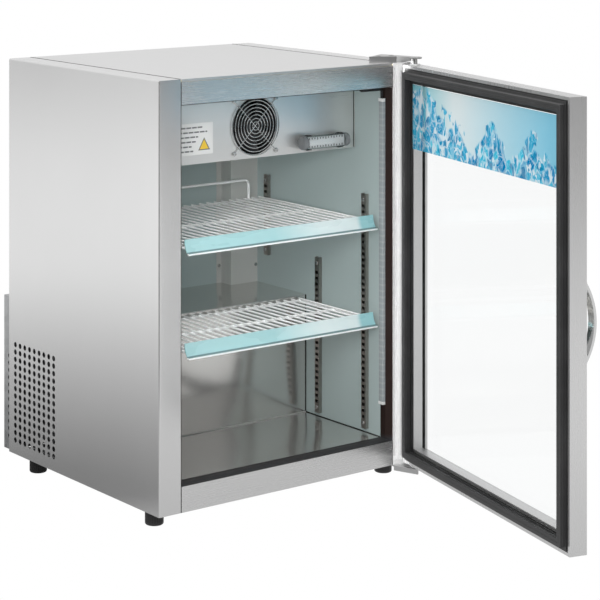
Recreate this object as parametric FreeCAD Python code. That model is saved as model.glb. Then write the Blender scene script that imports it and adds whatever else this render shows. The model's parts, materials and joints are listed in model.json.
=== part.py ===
import FreeCAD, Part
import math
import os

from FreeCAD import Vector

# Undercounter display refrigerator with one glass door, shown with its door open.
# Millimetres, +Z up. While it is modelled, x = 0 is the middle of the cabinet, y = 0 is its front face with
# +y towards the back, and z = 0 is its underside. save() then moves the front face to y = -BODY_D / 2, so
# that the origin is the centre of the cabinet's underside. The door is modelled shut and turned open.

# Cabinet
BODY_W = 630.0
BODY_D = 546.0
BODY_H = 818.0
SHEET = 1.0
BEND_R = 3.0
STILE_W = 50.0
HEADER_H = 48.5
RAIL_H = 49.0
SEAM = 2.0
HALF_W = BODY_W / 2
FLANGE_X = HALF_W - STILE_W
HEADER_Z = BODY_H - HEADER_H
HEM = 8.0

# Storage space
WALL_X = 254.0
FLOOR_Z = 53.0
CEILING_Z = 771.5
REAR_Y = 474.0
LINER_X = WALL_X + SHEET
JAMB_Y = 27.0
JAMB_T = 1.5
HUMP_Y = 268.0
HUMP_Z = 304.0

# Machine bay behind and below the hump
BAY_Y = 317.0
BAY_Z = 262.0
VENT_R = 5.5
VENT_COLUMNS = 9
VENT_ROWS = 14
VENT_Y = 371.6
VENT_Z = 29.2
VENT_PITCH_Y = 18.65
VENT_PITCH_Z = 15.2
HOUSING_X = 310.0
HOUSING_D = 30.0
HOUSING_Z = 321.0
PAN_T = 1.5
CORD_X = 200.0
CORD_Z = 40.0
DRIER_X = -100.0

# Door
DOOR_GAP = 12.0
DOOR_T = 36.0
DOOR_BACK = -DOOR_GAP
DOOR_FACE = DOOR_BACK - DOOR_T
DOOR_Z0 = 5.5
DOOR_Z1 = 814.5
WINDOW_X = 278.0
WINDOW_Z0 = 37.0
WINDOW_Z1 = 779.5
HINGE_X = 298.0
HINGE_Y = -30.0
DOOR_OPEN = 76.0
PIN_R = 5.0
RUNNING = 0.05
GLASS_X = 290.0
GLASS_Z0 = 31.0
GLASS_Z1 = 790.0
GLASS_T = 4.0
GLASS_Y = -42.0
SPACER_T = 20.0
GRAPHIC_Z0 = 648.0
GASKET_OUT = 9.0
GASKET_W = 20.0
BUSH_R = 8.0
HANDLE_X = -299.0
HANDLE_Z = 413.0
HANDLE_CHORD = 152.0
HANDLE_RISE = 23.5
HANDLE_SCREW_R = 2.5
PLATE_T = 3.0
BRACKET_R = 14.0
BRACKET_H = 13.0
BRACKET_CORNER = (226.0, 28.0)
BRACKET_FRONT = (275.0, 0.0)
BRACKET_REAR = (283.0, 57.0)
BRACKET_SCREWS = ((250.0, 27.0), (280.0, 22.0))

# Shelves: height of the wires' tops and depth of each shelf
SHELF_X = 237.0
SHELF_FRONT = 33.0
UPPER_Z = 499.0
UPPER_REAR = 402.0
LOWER_Z = 301.0
LOWER_REAR = 262.0
WIRE_R = 2.0
FRAME_ROD_R = 3.0
CROSS_ROD_R = 2.8
WIRE_PITCH = 20.0

# Pilasters: distance from the front, bottom and top. The slots' pitch fits both shelves.
FRONT_CLIP = 70.0
MIDDLE_CLIP = 221.5
REAR_CLIP = 398.0
PILASTERS = ((FRONT_CLIP, 62.0, 545.0), (MIDDLE_CLIP, 62.0, 391.0), (REAR_CLIP, 369.0, 544.0))
PILASTER_W = 14.0
PILASTER_D = 8.0
PILASTER_T = 1.2
SLOT_PITCH = (UPPER_Z - LOWER_Z) / 16
SLOT_W = 10.0
SLOT_H = 6.0
ROD_Z = 2 * WIRE_R + FRAME_ROD_R - 0.5
CLIP_DROP = ROD_Z + FRAME_ROD_R
HOOK_DROP = CLIP_DROP + 7.0

# Cooling
COVER_Y = 106.0
COVER_Z = 636.0
COVER_X = 253.5
FAN_X = -8.0
FAN_Z = 700.0
FAN_R = 57.0
GUARD_R = 58.5
FAN_SCREW = 52.5
GUARD_WIRE = 1.1
GUARD_Y = COVER_Y - 1.3
TUBE_X = 96.0
TUBE_L = 122.0
TUBE_R = 14.5
KNOB_X = -228.0
KNOB_Z = 690.0
SHAFT_R = 3.0
PIPE_R = 4.0
CAPILLARY_R = 1.2
CONDENSER_FAN_Y = 437.0
CONDENSER_FAN_Z = 140.0
COMPRESSOR_X = 120.0
COMPRESSOR_Y = 430.0
COMPRESSOR_R = 62.0
PORT_Z = 100.0
COIL_X = -270.0
COIL_Z = 220.0
DUCT_X = 181.0
DUCT_Y = 438.0
DUCT_TOP = 634.0
RISER_X = 218.0
RISER_Y = 456.0
EVAPORATOR_FAN_L = 38.0
CONDENSER_FAN_L = 38.0

# Feet
FOOT_H = 30.0
FOOT_R = 18.0
FOOT_X = 287.0
FOOT_FRONT = 56.0
FOOT_REAR = 476.0
FOOT_TOP = -0.5
STEM_R = 5.0
RIBS = 24

# Pan-head screws: head and shank
HEAD_R = 4.0
HEAD_H = 2.2
SHANK_R = 2.0
SHANK_L = 14.0

X_AXIS = Vector(1, 0, 0)
Y_AXIS = Vector(0, 1, 0)
Z_AXIS = Vector(0, 0, 1)


def box(x0, x1, y0, y1, z0, z1):
    return Part.makeBox(x1 - x0, y1 - y0, z1 - z0, Vector(x0, y0, z0))


def rod(radius, start, end):
    run = end.sub(start)
    return Part.makeCylinder(radius, run.Length, start, run)


def fuse(shapes):
    return shapes[0].multiFuse(shapes[1:]).removeSplitter()


def mirror_x(shape):
    return shape.mirror(Vector(0, 0, 0), X_AXIS)


def both_sides(shape):
    return [shape, mirror_x(shape)]


def extrude(points, run):
    wire = Part.makePolygon(points + points[:1])
    return Part.Face(wire).extrude(run)


def fillet_where(shape, radius, wanted):
    return shape.makeFillet(radius, [edge for edge in shape.Edges if wanted(edge.CenterOfMass)])


def chamfer_where(shape, size, wanted):
    return shape.makeChamfer(size, [edge for edge in shape.Edges if wanted(edge.CenterOfMass)])


def near(a, b):
    return abs(a - b) < 0.01


def bent_rod(radius, bend, points):
    """A round rod along straight runs, with an arc of the given radius at each corner."""
    edges = []
    here = points[0]
    for before, corner, after in zip(points, points[1:], points[2:]):
        back = before.sub(corner).normalize()
        ahead = after.sub(corner).normalize()
        half = back.getAngle(ahead) / 2
        reach = bend / math.tan(half)
        middle = back.add(ahead).normalize()
        start = corner.add(back * reach)
        end = corner.add(ahead * reach)
        top = corner.add(middle * (bend / math.sin(half) - bend))
        edges.append(Part.makeLine(here, start))
        edges.append(Part.Arc(start, top, end).toShape())
        here = end
    edges.append(Part.makeLine(here, points[-1]))
    section = Part.Wire([Part.makeCircle(radius, points[0], points[1].sub(points[0]))])
    return Part.Wire(edges).makePipeShell([section], True, False)


def save(name, shape):
    moved = shape.copy()
    moved.translate(Vector(0, -BODY_D / 2, 0))
    moved.exportStep(f"parts/{name}.step")


def save_door(name, shape):
    turned = shape.copy()
    turned.rotate(Vector(HINGE_X, HINGE_Y, 0), Z_AXIS, DOOR_OPEN)
    save(name, turned)


# Screws ---------------------------------------------------------------------------------------------------


def screw(place, out):
    """A pan-head screw whose head sits on a surface at place and faces out."""
    head = Part.makeCylinder(HEAD_R, HEAD_H)
    head = fillet_where(head, 1.2, lambda c: near(c.z, HEAD_H))
    slot = box(-2.5, 2.5, -0.5, 0.5, HEAD_H - 1, HEAD_H + 1)
    cross = fuse([slot, box(-0.5, 0.5, -2.5, 2.5, HEAD_H - 1, HEAD_H + 1)])
    shank = Part.makeCylinder(SHANK_R, SHANK_L, Vector(0, 0, -SHANK_L))
    whole = fuse([head.cut(cross), shank])
    whole.Placement = FreeCAD.Placement(place, FreeCAD.Rotation(Z_AXIS, out))
    return whole


def screw_places():
    """Where the cabinet's screws sit, and the way each head faces."""
    front = Y_AXIS * -1
    places = []
    for z in (FAN_Z - FAN_SCREW, FAN_Z + FAN_SCREW):
        places += [(Vector(FAN_X + dx, GUARD_Y - GUARD_WIRE, z), front) for dx in (-FAN_SCREW, FAN_SCREW)]
    for z in (342.0, 580.0):
        places.append((Vector(DUCT_X - 6.5, REAR_Y - SHEET, z), front))
        places.append((Vector(WALL_X - 5.5, DUCT_Y, z), front))
    places += [(Vector(x, BODY_D + SHEET, HOUSING_Z + 7), Y_AXIS) for x in (-270, -90, 90, 270)]
    places += [(Vector(x, y, BODY_H + PLATE_T), Z_AXIS) for x, y in BRACKET_SCREWS]
    places += [(Vector(x, 30.0, -PLATE_T), Z_AXIS * -1) for x in (276.0, 302.0)]
    places += [(Vector(x, COVER_Y + 12, CEILING_Z - 0.5 - SHEET), Z_AXIS * -1) for x in (-200.0, 200.0)]
    for y, low, high in PILASTERS:
        for z in (low + 12, high - 12):
            places.append((Vector(WALL_X - PILASTER_D, y, z), X_AXIS * -1))
            places.append((Vector(PILASTER_D - WALL_X, y, z), X_AXIS))
    return places


def clear_screws(shape):
    """The shape with clearance holes for the screws' shanks."""
    bore = SHANK_R + RUNNING
    holes = [Part.makeCylinder(bore, SHANK_L + 1, place, out * -1) for place, out in screw_places()]
    return shape.cut(Part.makeCompound(holes))


def panel_screws():
    return Part.makeCompound([screw(place, out) for place, out in screw_places()])


# Outer cabinet --------------------------------------------------------------------------------------------


def vent_holes():
    """A square grid of round holes through a side panel at -x."""
    holes = []
    for column in range(VENT_COLUMNS):
        for row in range(VENT_ROWS):
            place = Vector(-HALF_W - 5, VENT_Y + column * VENT_PITCH_Y, VENT_Z + row * VENT_PITCH_Z)
            holes.append(Part.makeCylinder(VENT_R, 12, place, X_AXIS))
    return Part.makeCompound(holes)


def foot_places():
    return [Vector(x, y, 0) for x in (-FOOT_X, FOOT_X) for y in (FOOT_FRONT, FOOT_REAR)]


def side_panel():
    """Left panel: a side with flanges at the front, top and bottom, and a short hem at the door opening."""
    outer = box(-HALF_W, -FLANGE_X, 0, BODY_D, 0, BODY_H)
    outer = fillet_where(outer, BEND_R, lambda c: near(c.x, -HALF_W) and (near(c.y, 0) or near(c.z, BODY_H)))
    inner = box(SHEET - HALF_W, 0, SHEET, BODY_D + 9, SHEET, BODY_H - SHEET)
    bent = lambda c: near(c.x, SHEET - HALF_W) and (near(c.y, SHEET) or near(c.z, BODY_H - SHEET))
    inner = fillet_where(inner, BEND_R - SHEET, bent)
    hem = box(-FLANGE_X - SHEET, -FLANGE_X, 0, HEM, RAIL_H, HEADER_Z)
    panel = fuse([outer.cut(inner), hem])
    stems = [Part.makeCylinder(STEM_R + RUNNING, 4, place - Z_AXIS) for place in foot_places()]
    return panel.cut(vent_holes()).cut(Part.makeCompound(stems))


def top_panel():
    half = FLANGE_X - SEAM
    top = box(-half, half, 0, BODY_D, BODY_H - SHEET, BODY_H)
    lip = box(-half, half, 0, SHEET, BODY_H - 5, BODY_H)
    return clear_screws(fuse([top, lip]))


def back_panel():
    """A flat sheet above the machine bay, with its top corners off to clear the side panels' bends."""
    half = HALF_W - SHEET
    panel = box(-half, half, BODY_D - SHEET, BODY_D, BAY_Z, BODY_H - SHEET)
    panel = chamfer_where(panel, BEND_R, lambda c: near(abs(c.x), half) and near(c.z, BODY_H - SHEET))
    return clear_screws(panel)


def base_pan():
    half = FLANGE_X - SEAM
    return box(-half, half, SHEET, BODY_D, 0, PAN_T)


def front_header():
    half = FLANGE_X - SEAM
    face = box(-half, half, 0, SHEET, HEADER_Z, BODY_H - 5.5)
    hem = box(-half, half, 0, HEM, HEADER_Z, HEADER_Z + SHEET)
    return fuse([face, hem])


def bottom_rail():
    half = FLANGE_X - SEAM
    face = box(-half, half, 0, SHEET, 0, RAIL_H)
    hem = box(-half, half, 0, HEM, RAIL_H - SHEET, RAIL_H)
    return fuse([face, hem])


def upright_frame(half, y, z0, z1):
    """A rectangular outline in the plane at y."""
    corners = [Vector(-half, y, z0), Vector(half, y, z0), Vector(half, y, z1), Vector(-half, y, z1)]
    return Part.makePolygon(corners + corners[:1])


def breaker_frame():
    """Plastic ring between the cabinet's front and the liner. It splays towards the front at the sides and
    the bottom, and rises behind the header's hem to the ceiling."""
    half = FLANGE_X - 0.1
    lip_z = HEADER_Z - 1.4
    ring = box(-half, half, 0.8, JAMB_Y, RAIL_H, HEADER_Z)
    above = box(-half, half, HEM, JAMB_Y, HEADER_Z, CEILING_Z + JAMB_T)
    wide = upright_frame(half - 1.5, 0.8, RAIL_H + 1.4, lip_z)
    narrow = upright_frame(LINER_X, 12, FLOOR_Z, lip_z)
    splay = Part.makeLoft([wide, narrow], True, True)
    throat = box(-LINER_X, LINER_X, 11.9, JAMB_Y + 1, FLOOR_Z, CEILING_Z)
    return fuse([ring, above]).cut(fuse([splay, throat]))


def riser_hole(z0, z1):
    return Part.makeCylinder(7, z1 - z0, Vector(RISER_X, RISER_Y, z0))


def foam_insulation():
    """Foam between the outer sheets and the liner. It fills the hump, and leaves the machine bay clear."""
    half = HALF_W - SHEET
    foam = box(-half, half, SHEET, BODY_D - SHEET, PAN_T, BODY_H - SHEET)
    bent = lambda c: near(abs(c.x), half) and (near(c.y, SHEET) or near(c.z, BODY_H - SHEET))
    foam = chamfer_where(foam, BEND_R, bent)
    jamb = box(-FLANGE_X - SHEET, FLANGE_X + SHEET, 0, JAMB_Y, RAIL_H - SHEET, CEILING_Z + JAMB_T)
    cavity = box(-LINER_X, LINER_X, JAMB_Y, REAR_Y + SHEET, FLOOR_Z - SHEET, CEILING_Z + SHEET)
    cavity = cavity.cut(box(-half, half, HUMP_Y + SHEET, BODY_D, 0, HUMP_Z - SHEET))
    bay = box(-half, half, BAY_Y, BODY_D, 0, BAY_Z)
    stems = [Part.makeCylinder(STEM_R + 1.5, 31, place - Z_AXIS) for place in foot_places()]
    foam = foam.cut(jamb).cut(cavity).cut(bay).cut(Part.makeCompound(stems))
    return clear_screws(foam.cut(riser_hole(BAY_Z - 1, HUMP_Z + 1)))


# Storage space --------------------------------------------------------------------------------------------


def liner_shell():
    """Walls, ceiling and back of the storage space in one, with a rib that takes the duct's right screws."""
    outer = box(-LINER_X, LINER_X, JAMB_Y, REAR_Y + SHEET, FLOOR_Z - SHEET, CEILING_Z + SHEET)
    inner = box(-WALL_X, WALL_X, 0, REAR_Y, 0, CEILING_Z)
    hump = box(-HALF_W, HALF_W, HUMP_Y + SHEET, BODY_D, 0, HUMP_Z - SHEET)
    rib = box(WALL_X - 12, WALL_X, DUCT_Y + SHEET, DUCT_Y + 18, HUMP_Z, DUCT_TOP)
    return clear_screws(fuse([outer.cut(inner).cut(hump), rib]))


def liner_floor():
    return box(-WALL_X, WALL_X, JAMB_Y, HUMP_Y + SHEET, FLOOR_Z - SHEET, FLOOR_Z)


def hump_cover():
    front = box(-WALL_X, WALL_X, HUMP_Y, HUMP_Y + SHEET, FLOOR_Z, HUMP_Z)
    top = box(-WALL_X, WALL_X, HUMP_Y, REAR_Y, HUMP_Z - SHEET, HUMP_Z)
    cover = fillet_where(fuse([front, top]), 2, lambda c: near(c.y, HUMP_Y) and near(c.z, HUMP_Z))
    return cover.cut(riser_hole(HUMP_Z - 2, HUMP_Z + 1))


def rear_duct_cover():
    """Two-sided duct in the rear right corner, around the suction pipe."""
    front = box(DUCT_X, WALL_X, DUCT_Y, DUCT_Y + SHEET, HUMP_Z, DUCT_TOP)
    side = box(DUCT_X, DUCT_X + SHEET, DUCT_Y, REAR_Y, HUMP_Z, DUCT_TOP)
    flange = box(DUCT_X - 13, DUCT_X + SHEET, REAR_Y - SHEET, REAR_Y, HUMP_Z, DUCT_TOP)
    return clear_screws(fuse([front, side, flange]))


def pilaster(y, low, high):
    """Right-hand slotted channel, open towards the wall."""
    face = WALL_X - PILASTER_D
    channel = box(face, WALL_X, y - PILASTER_W / 2, y + PILASTER_W / 2, low, high)
    inside = PILASTER_W / 2 - PILASTER_T
    hollow = box(face + PILASTER_T, WALL_X + 1, y - inside, y + inside, low - 1, high + 1)
    slots = []
    for step in range(-25, 25):
        z = LOWER_Z - HOOK_DROP + step * SLOT_PITCH
        if low + 20 < z < high - 20:
            sides = (y - SLOT_W / 2, y + SLOT_W / 2)
            slots.append(box(face - 1, face + 3, *sides, z - SLOT_H / 2, z + SLOT_H / 2))
    return channel.cut(hollow).cut(Part.makeCompound(slots))


def shelf_pilasters():
    channels = []
    for y, low, high in PILASTERS:
        channels += both_sides(pilaster(y, low, high))
    return clear_screws(Part.makeCompound(channels))


def shelf_clip(y, shelf_z):
    """Right-hand clip: a tab under the shelf, a plate on the pilaster and a hook through one of its slots."""
    face = WALL_X - PILASTER_D
    top = shelf_z - CLIP_DROP
    hook = shelf_z - HOOK_DROP
    tab = box(SHELF_X - 4, face, y - 5, y + 5, top - 2.5, top)
    plate = box(face - 2, face, y - 5, y + 5, top - 14, top)
    peg = box(face - 1, face + 3.2, y - 4, y + 4, hook - 2, hook + 2)
    barb = box(face + 1.6, face + 3.2, y - 4, y + 4, hook - 5, hook + 2)
    return fuse([tab, plate, peg, barb])


CLIPS = ((FRONT_CLIP, UPPER_Z), (REAR_CLIP, UPPER_Z), (FRONT_CLIP, LOWER_Z), (MIDDLE_CLIP, LOWER_Z))


def shelf_clips():
    clips = []
    for y, shelf_z in CLIPS:
        clips += both_sides(shelf_clip(y, shelf_z))
    return Part.makeCompound(clips)


def shelf(top, rear):
    """Wire shelf: wires from front to back on a frame of thicker rods."""
    wire_z = top - WIRE_R
    rod_z = top - ROD_Z
    side = SHELF_X - FRAME_ROD_R
    front = SHELF_FRONT + FRAME_ROD_R
    back = rear - FRAME_ROD_R
    count = int(2 * (side - 4) / WIRE_PITCH) + 1
    rods = []
    for i in range(count):
        x = (i - (count - 1) / 2) * WIRE_PITCH
        rods.append(rod(WIRE_R, Vector(x, SHELF_FRONT, wire_z), Vector(x, rear, wire_z)))
    for y in (front, (front + back) / 2, back):
        rods.append(rod(CROSS_ROD_R, Vector(-side, y, rod_z), Vector(side, y, rod_z)))
    for x in (-side, side):
        rods.append(rod(FRAME_ROD_R, Vector(x, SHELF_FRONT, rod_z), Vector(x, rear, rod_z)))
    return fuse(rods)


def upper_shelf():
    """The upper shelf has a raised rod along its rear edge."""
    y = UPPER_REAR - FRAME_ROD_R
    corners = [Vector(x, y, z) for x, z in ((-200, UPPER_Z - 7), (-200, 537), (200, 537), (200, UPPER_Z - 7))]
    return fuse([shelf(UPPER_Z, UPPER_REAR), bent_rod(FRAME_ROD_R, 12, corners)])


def label_strip(top):
    """Hollow-faced strip before the shelf's front rod, with a lip below and a clip under the rod."""
    half = SHELF_X - 1
    clip_z = top - CLIP_DROP
    reach = SHELF_FRONT + 2 * FRAME_ROD_R
    high = Vector(-half, 28, top + 9.5)
    middle = Vector(-half, 25, top - 5.4)
    low = Vector(-half, 16.5, top - 18)
    back = Vector(0, 1.4, -0.6)
    face = Part.Wire([
        Part.Arc(high, middle, low).toShape(),
        Part.makeLine(low, low + back),
        Part.Arc(low + back, middle + back, high + back).toShape(),
        Part.makeLine(high + back, high),
    ])
    strip = Part.Face(face).extrude(Vector(2 * half, 0, 0))
    lip = box(-half, half, 13.5, 18, top - 19.5, top - 18)
    edge = box(-half, half, 13.5, 14.7, top - 19.5, top - 15)
    web = box(-half + 8, half - 8, 23, reach + 1.5, clip_z - 1.5, clip_z)
    catch = box(-half + 8, half - 8, reach, reach + 1.5, clip_z - 1.5, clip_z + 3)
    return fuse([strip, lip, edge, web, catch])


def led_strip():
    bar = box(WALL_X - 6, LINER_X, 12, 25, 122, 746)
    return fillet_where(bar, 2, lambda c: near(c.x, WALL_X - 6) and c.z > 200 and c.z < 700)


def led_cable():
    x = LINER_X - 4
    z = CEILING_Z - 8
    corners = [Vector(x, 18, 746), Vector(x, 18, z), Vector(x - 59, 18, z), Vector(x - 59, 18, CEILING_Z)]
    return bent_rod(2, 6, corners)


# Evaporator and its cover ---------------------------------------------------------------------------------


def evaporator_cover():
    """Tray under the ceiling: a front with the fan's opening, a slotted bottom, and two flanges on top."""
    top = CEILING_Z - 0.5
    front = box(-COVER_X, COVER_X, COVER_Y, COVER_Y + SHEET, COVER_Z, top)
    bottom = box(-COVER_X, COVER_X, COVER_Y, 430, COVER_Z, COVER_Z + SHEET)
    lip = box(-COVER_X, COVER_X, 430 - SHEET, 430, COVER_Z, COVER_Z + 14)
    flange = box(100, COVER_X - 4, COVER_Y, COVER_Y + 24, top - SHEET, top)
    slots = [box(x, x + 8, 330, 410, COVER_Z - 1, COVER_Z + 2) for x in range(-216, 217, 24)]
    opening = Part.makeCylinder(FAN_R, 9, Vector(FAN_X, COVER_Y - 4, FAN_Z), Y_AXIS)
    knob = Part.makeCylinder(SHAFT_R + RUNNING, 9, Vector(KNOB_X, COVER_Y - 4, KNOB_Z), Y_AXIS)
    cover = fuse([front, bottom, lip] + both_sides(flange))
    return clear_screws(cover.cut(Part.makeCompound(slots + [opening, knob])))


def evaporator_coil():
    """One serpentine pipe through a row of plate fins, on two end plates."""
    corners = [Vector(166, 250, 720)]
    for z in (720, 700, 680):
        x = -168 if z != 700 else 150
        corners += [Vector(x, 250, z), Vector(x, 250, z - 20)]
    corners.append(Vector(166, 250, 660))
    fins = [box(x, x + 0.6, 205, 295, 655, 745) for x in range(-156, 142, 8)]
    plates = [box(x, x + 1, 205, 295, COVER_Z + 2, 745) for x in (-162, 143)]
    return fuse([bent_rod(PIPE_R, 8, corners)] + fins + plates)


def drip_pan():
    pan = box(-185, 165, 190, 312, COVER_Z + 1, COVER_Z + 14)
    return pan.cut(box(-184, 164, 191, 311, COVER_Z + 2, COVER_Z + 20))


def rotor(hub_r, hub_l, tip_r, blades, chord, pitch):
    """Axial fan rotor about +z: hub from z = 0 up, tilted blades, and a shaft below it."""
    hub = fillet_where(Part.makeCylinder(hub_r, hub_l), 3, lambda c: near(c.z, hub_l))
    parts = [hub, Part.makeCylinder(SHAFT_R, 12, Vector(0, 0, -12))]
    for i in range(blades):
        blade = box(hub_r - 2, tip_r + 5, -chord / 2, chord / 2, -0.8, 0.8)
        blade.rotate(Vector(0, 0, 0), X_AXIS, pitch)
        blade.translate(Vector(0, 0, hub_l / 2))
        blade.rotate(Vector(0, 0, 0), Z_AXIS, 360 / blades * i)
        parts.append(blade.common(Part.makeCylinder(tip_r, 60, Vector(0, 0, -20))))
    return fuse(parts)


def fan_frame(half, depth, bore):
    """Square axial-fan frame from z = 0 up, with a motor on four struts at the bottom."""
    frame = box(-half, half, -half, half, 0, depth)
    frame = fillet_where(frame, 6, lambda c: near(abs(c.x), half) and near(abs(c.y), half))
    frame = frame.cut(Part.makeCylinder(bore, depth + 2, Vector(0, 0, -1)))
    parts = [frame, Part.makeCylinder(18, 15)]
    for i in range(4):
        strut = box(15, bore + 1, -3, 3, 0, 5)
        strut.rotate(Vector(0, 0, 0), Z_AXIS, 90 * i + 45)
        parts.append(strut)
    return fuse(parts).cut(Part.makeCylinder(SHAFT_R + RUNNING, 12, Vector(0, 0, 5)))


def facing(shape, place, ahead):
    """The shape with its +z turned to face ahead, at place."""
    shape.Placement = FreeCAD.Placement(place, FreeCAD.Rotation(Z_AXIS, ahead))
    return shape


def evaporator_fan_frame():
    place = Vector(FAN_X, COVER_Y + SHEET + EVAPORATOR_FAN_L, FAN_Z)
    return clear_screws(facing(fan_frame(59.5, EVAPORATOR_FAN_L, 57.5), place, Y_AXIS * -1))


def evaporator_fan_blade():
    place = Vector(FAN_X, COVER_Y + SHEET + EVAPORATOR_FAN_L - 18, FAN_Z)
    return facing(rotor(20, 16, 55.5, 7, 26, 32), place, Y_AXIS * -1)


def fan_guard():
    """Round wire guard: rings on two crossed wires, with a loop at each corner for a screw."""
    ring_y = GUARD_Y - 2 * GUARD_WIRE + 0.2
    reach = FAN_SCREW - 3.0 / math.sqrt(2)
    parts = []
    for i in range(8):
        parts.append(Part.makeTorus(GUARD_R - 7.2 * i, GUARD_WIRE, Vector(FAN_X, ring_y, FAN_Z), Y_AXIS))
    for turn in (1, -1):
        ends = [Vector(FAN_X + side * reach, GUARD_Y, FAN_Z + turn * side * reach) for side in (-1, 1)]
        parts.append(rod(GUARD_WIRE, ends[0], ends[1]))
    for dx in (-FAN_SCREW, FAN_SCREW):
        for dz in (-FAN_SCREW, FAN_SCREW):
            place = Vector(FAN_X + dx, GUARD_Y, FAN_Z + dz)
            parts.append(Part.makeTorus(4, GUARD_WIRE, place, Y_AXIS))
    return fuse(parts)


def info_label():
    return box(-200, -112, COVER_Y - 0.3, COVER_Y, 654, 716)


def thermometer():
    """Clear tube with two end caps, held on the cover by two clips."""
    y = COVER_Y - TUBE_R - 3
    z = 658
    end = TUBE_X + TUBE_L
    parts = [rod(TUBE_R - 1, Vector(TUBE_X + 1, y, z), Vector(end - 1, y, z))]
    parts += [rod(TUBE_R, Vector(x, y, z), Vector(x + 14, y, z)) for x in (TUBE_X, end - 14)]
    parts += [box(x, x + 9, y - 5, COVER_Y, z - 16, z + 16) for x in (TUBE_X + 15, end - 24)]
    return fuse(parts)


def thermostat_knob():
    """Fluted knob with a pointer ridge on a shaft through the cover."""
    knob = Part.makeCylinder(16, 13)
    knob = fillet_where(knob, 1.5, lambda c: near(c.z, 13))
    flutes = []
    for i in range(16):
        angle = math.radians(360 / 16 * i)
        flutes.append(Part.makeCylinder(1.6, 15, Vector(16.6 * math.cos(angle), 16.6 * math.sin(angle), 2)))
    knob = knob.cut(Part.makeCompound(flutes))
    ridge = box(-2, 2, -12, 12, 13, 16)
    whole = fuse([knob, ridge, Part.makeCylinder(SHAFT_R, 10, Vector(0, 0, -10))])
    return facing(whole, Vector(KNOB_X, COVER_Y - 1, KNOB_Z), Y_AXIS * -1)


# Machine bay ----------------------------------------------------------------------------------------------


def bay_liner():
    half = HALF_W - 1.1
    wall = box(-half, half, BAY_Y, BAY_Y + SHEET, PAN_T, BAY_Z)
    ceiling = box(-half, half, BAY_Y, BODY_D - SHEET, BAY_Z - SHEET, BAY_Z)
    return fuse([wall, ceiling]).cut(riser_hole(BAY_Z - 2, BAY_Z + 1))


def rear_housing():
    """Louvred pan over the machine bay, open to the front, with a flange along its top."""
    back = BODY_D + HOUSING_D
    pan = box(-HOUSING_X, HOUSING_X, BODY_D, back, 2, HOUSING_Z)
    pan = fillet_where(pan, 2, lambda c: near(abs(c.x), HOUSING_X) and near(c.y, back))
    inner = box(-HOUSING_X + 1, HOUSING_X - 1, BODY_D - 1, back - 1, 3, HOUSING_Z - 1)
    flange = box(-HOUSING_X, HOUSING_X, BODY_D, BODY_D + SHEET, HOUSING_Z - SHEET, HOUSING_Z + 12)
    holes = [Part.makeCylinder(5, 5, Vector(CORD_X, back - 3, CORD_Z), Y_AXIS)]
    for x in (-240, -140, -40, 60, 160):
        holes += [box(x, x + 80, back - 3, back + 2, z, z + 6) for z in range(75, 290, 18)]
    for row in range(12):
        place = Vector(-HALF_W, BODY_D + 8, 30 + row * VENT_PITCH_Z)
        holes.append(Part.makeCylinder(4.5, BODY_W, place, X_AXIS))
    return clear_screws(fuse([pan.cut(inner), flange]).cut(Part.makeCompound(holes)))


def grommet_places():
    return [Vector(COMPRESSOR_X + dx, COMPRESSOR_Y + dy, PAN_T) for dx in (-72, 72) for dy in (-42, 42)]


def compressor():
    """Welded steel shell with a seam flange, two pipe stubs and a base plate."""
    x = COMPRESSOR_X
    y = COMPRESSOR_Y
    shell = Part.makeCylinder(COMPRESSOR_R, 148, Vector(x, y, 14))
    shell = fillet_where(shell, 26, lambda c: near(c.z, 162))
    shell = fillet_where(shell, 12, lambda c: near(c.z, 14))
    seam = Part.makeCylinder(COMPRESSOR_R + 3, 4, Vector(x, y, 84))
    plate = box(x - 85, x + 85, y - 55, y + 55, 12, 14.5)
    plate = fillet_where(plate, 14, lambda c: near(abs(c.x - x), 85) and near(abs(c.y - y), 55))
    reach = COMPRESSOR_R + 10
    stubs = rod(5, Vector(x - reach, y, PORT_Z), Vector(x + reach, y, PORT_Z))
    holes = [Part.makeCylinder(6, 9, place + Z_AXIS * 8) for place in grommet_places()]
    return fuse([shell, seam, plate, stubs]).cut(Part.makeCompound(holes))


def compressor_grommets():
    """Rubber feet under the base plate, each with a neck up through it."""
    feet = []
    for place in grommet_places():
        foot = Part.makeCylinder(10, 12 - PAN_T, place)
        neck = Part.makeCylinder(6, 17 - PAN_T, place)
        feet.append(fuse([foot, neck]))
    return Part.makeCompound(feet)


def condenser_coil():
    """Serpentine pipe through plate fins, on two end plates; its lower end runs on to the filter drier."""
    corners = [Vector(COIL_X, 337, COIL_Z)]
    for run in range(8):
        y = 532 if run % 2 == 0 else 341
        z = COIL_Z - 20 * run
        corners += [Vector(COIL_X, y, z), Vector(COIL_X, y, z - 20)]
    low = COIL_Z - 160
    corners += [Vector(COIL_X, 532, low), Vector(DRIER_X, 532, low), Vector(DRIER_X, 500, low)]
    corners.append(Vector(DRIER_X, 500, 75))
    fins = [box(-290, -250, y, y + 0.6, 44, 238) for y in range(356, 516, 7)]
    plates = [box(-290, -250, y, y + 1.2, 40, 240) for y in (351, 520)]
    legs = [box(-264, -250, y, y + 1.2, PAN_T, 44) for y in (351, 520)]
    return fuse([bent_rod(PIPE_R, 8, corners)] + fins + plates + legs)


def condenser_fan_place(x):
    return Vector(x, CONDENSER_FAN_Y, CONDENSER_FAN_Z)


def condenser_fan_frame():
    frame = facing(fan_frame(80, CONDENSER_FAN_L, 68), condenser_fan_place(-206), X_AXIS * -1)
    legs = [box(-232, -218, y, y + 12, PAN_T, 70) for y in (364, 498)]
    return fuse([frame] + legs)


def condenser_fan_blade():
    return facing(rotor(18, 16, 65, 5, 34, 30), condenser_fan_place(-224), X_AXIS * -1)


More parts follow.
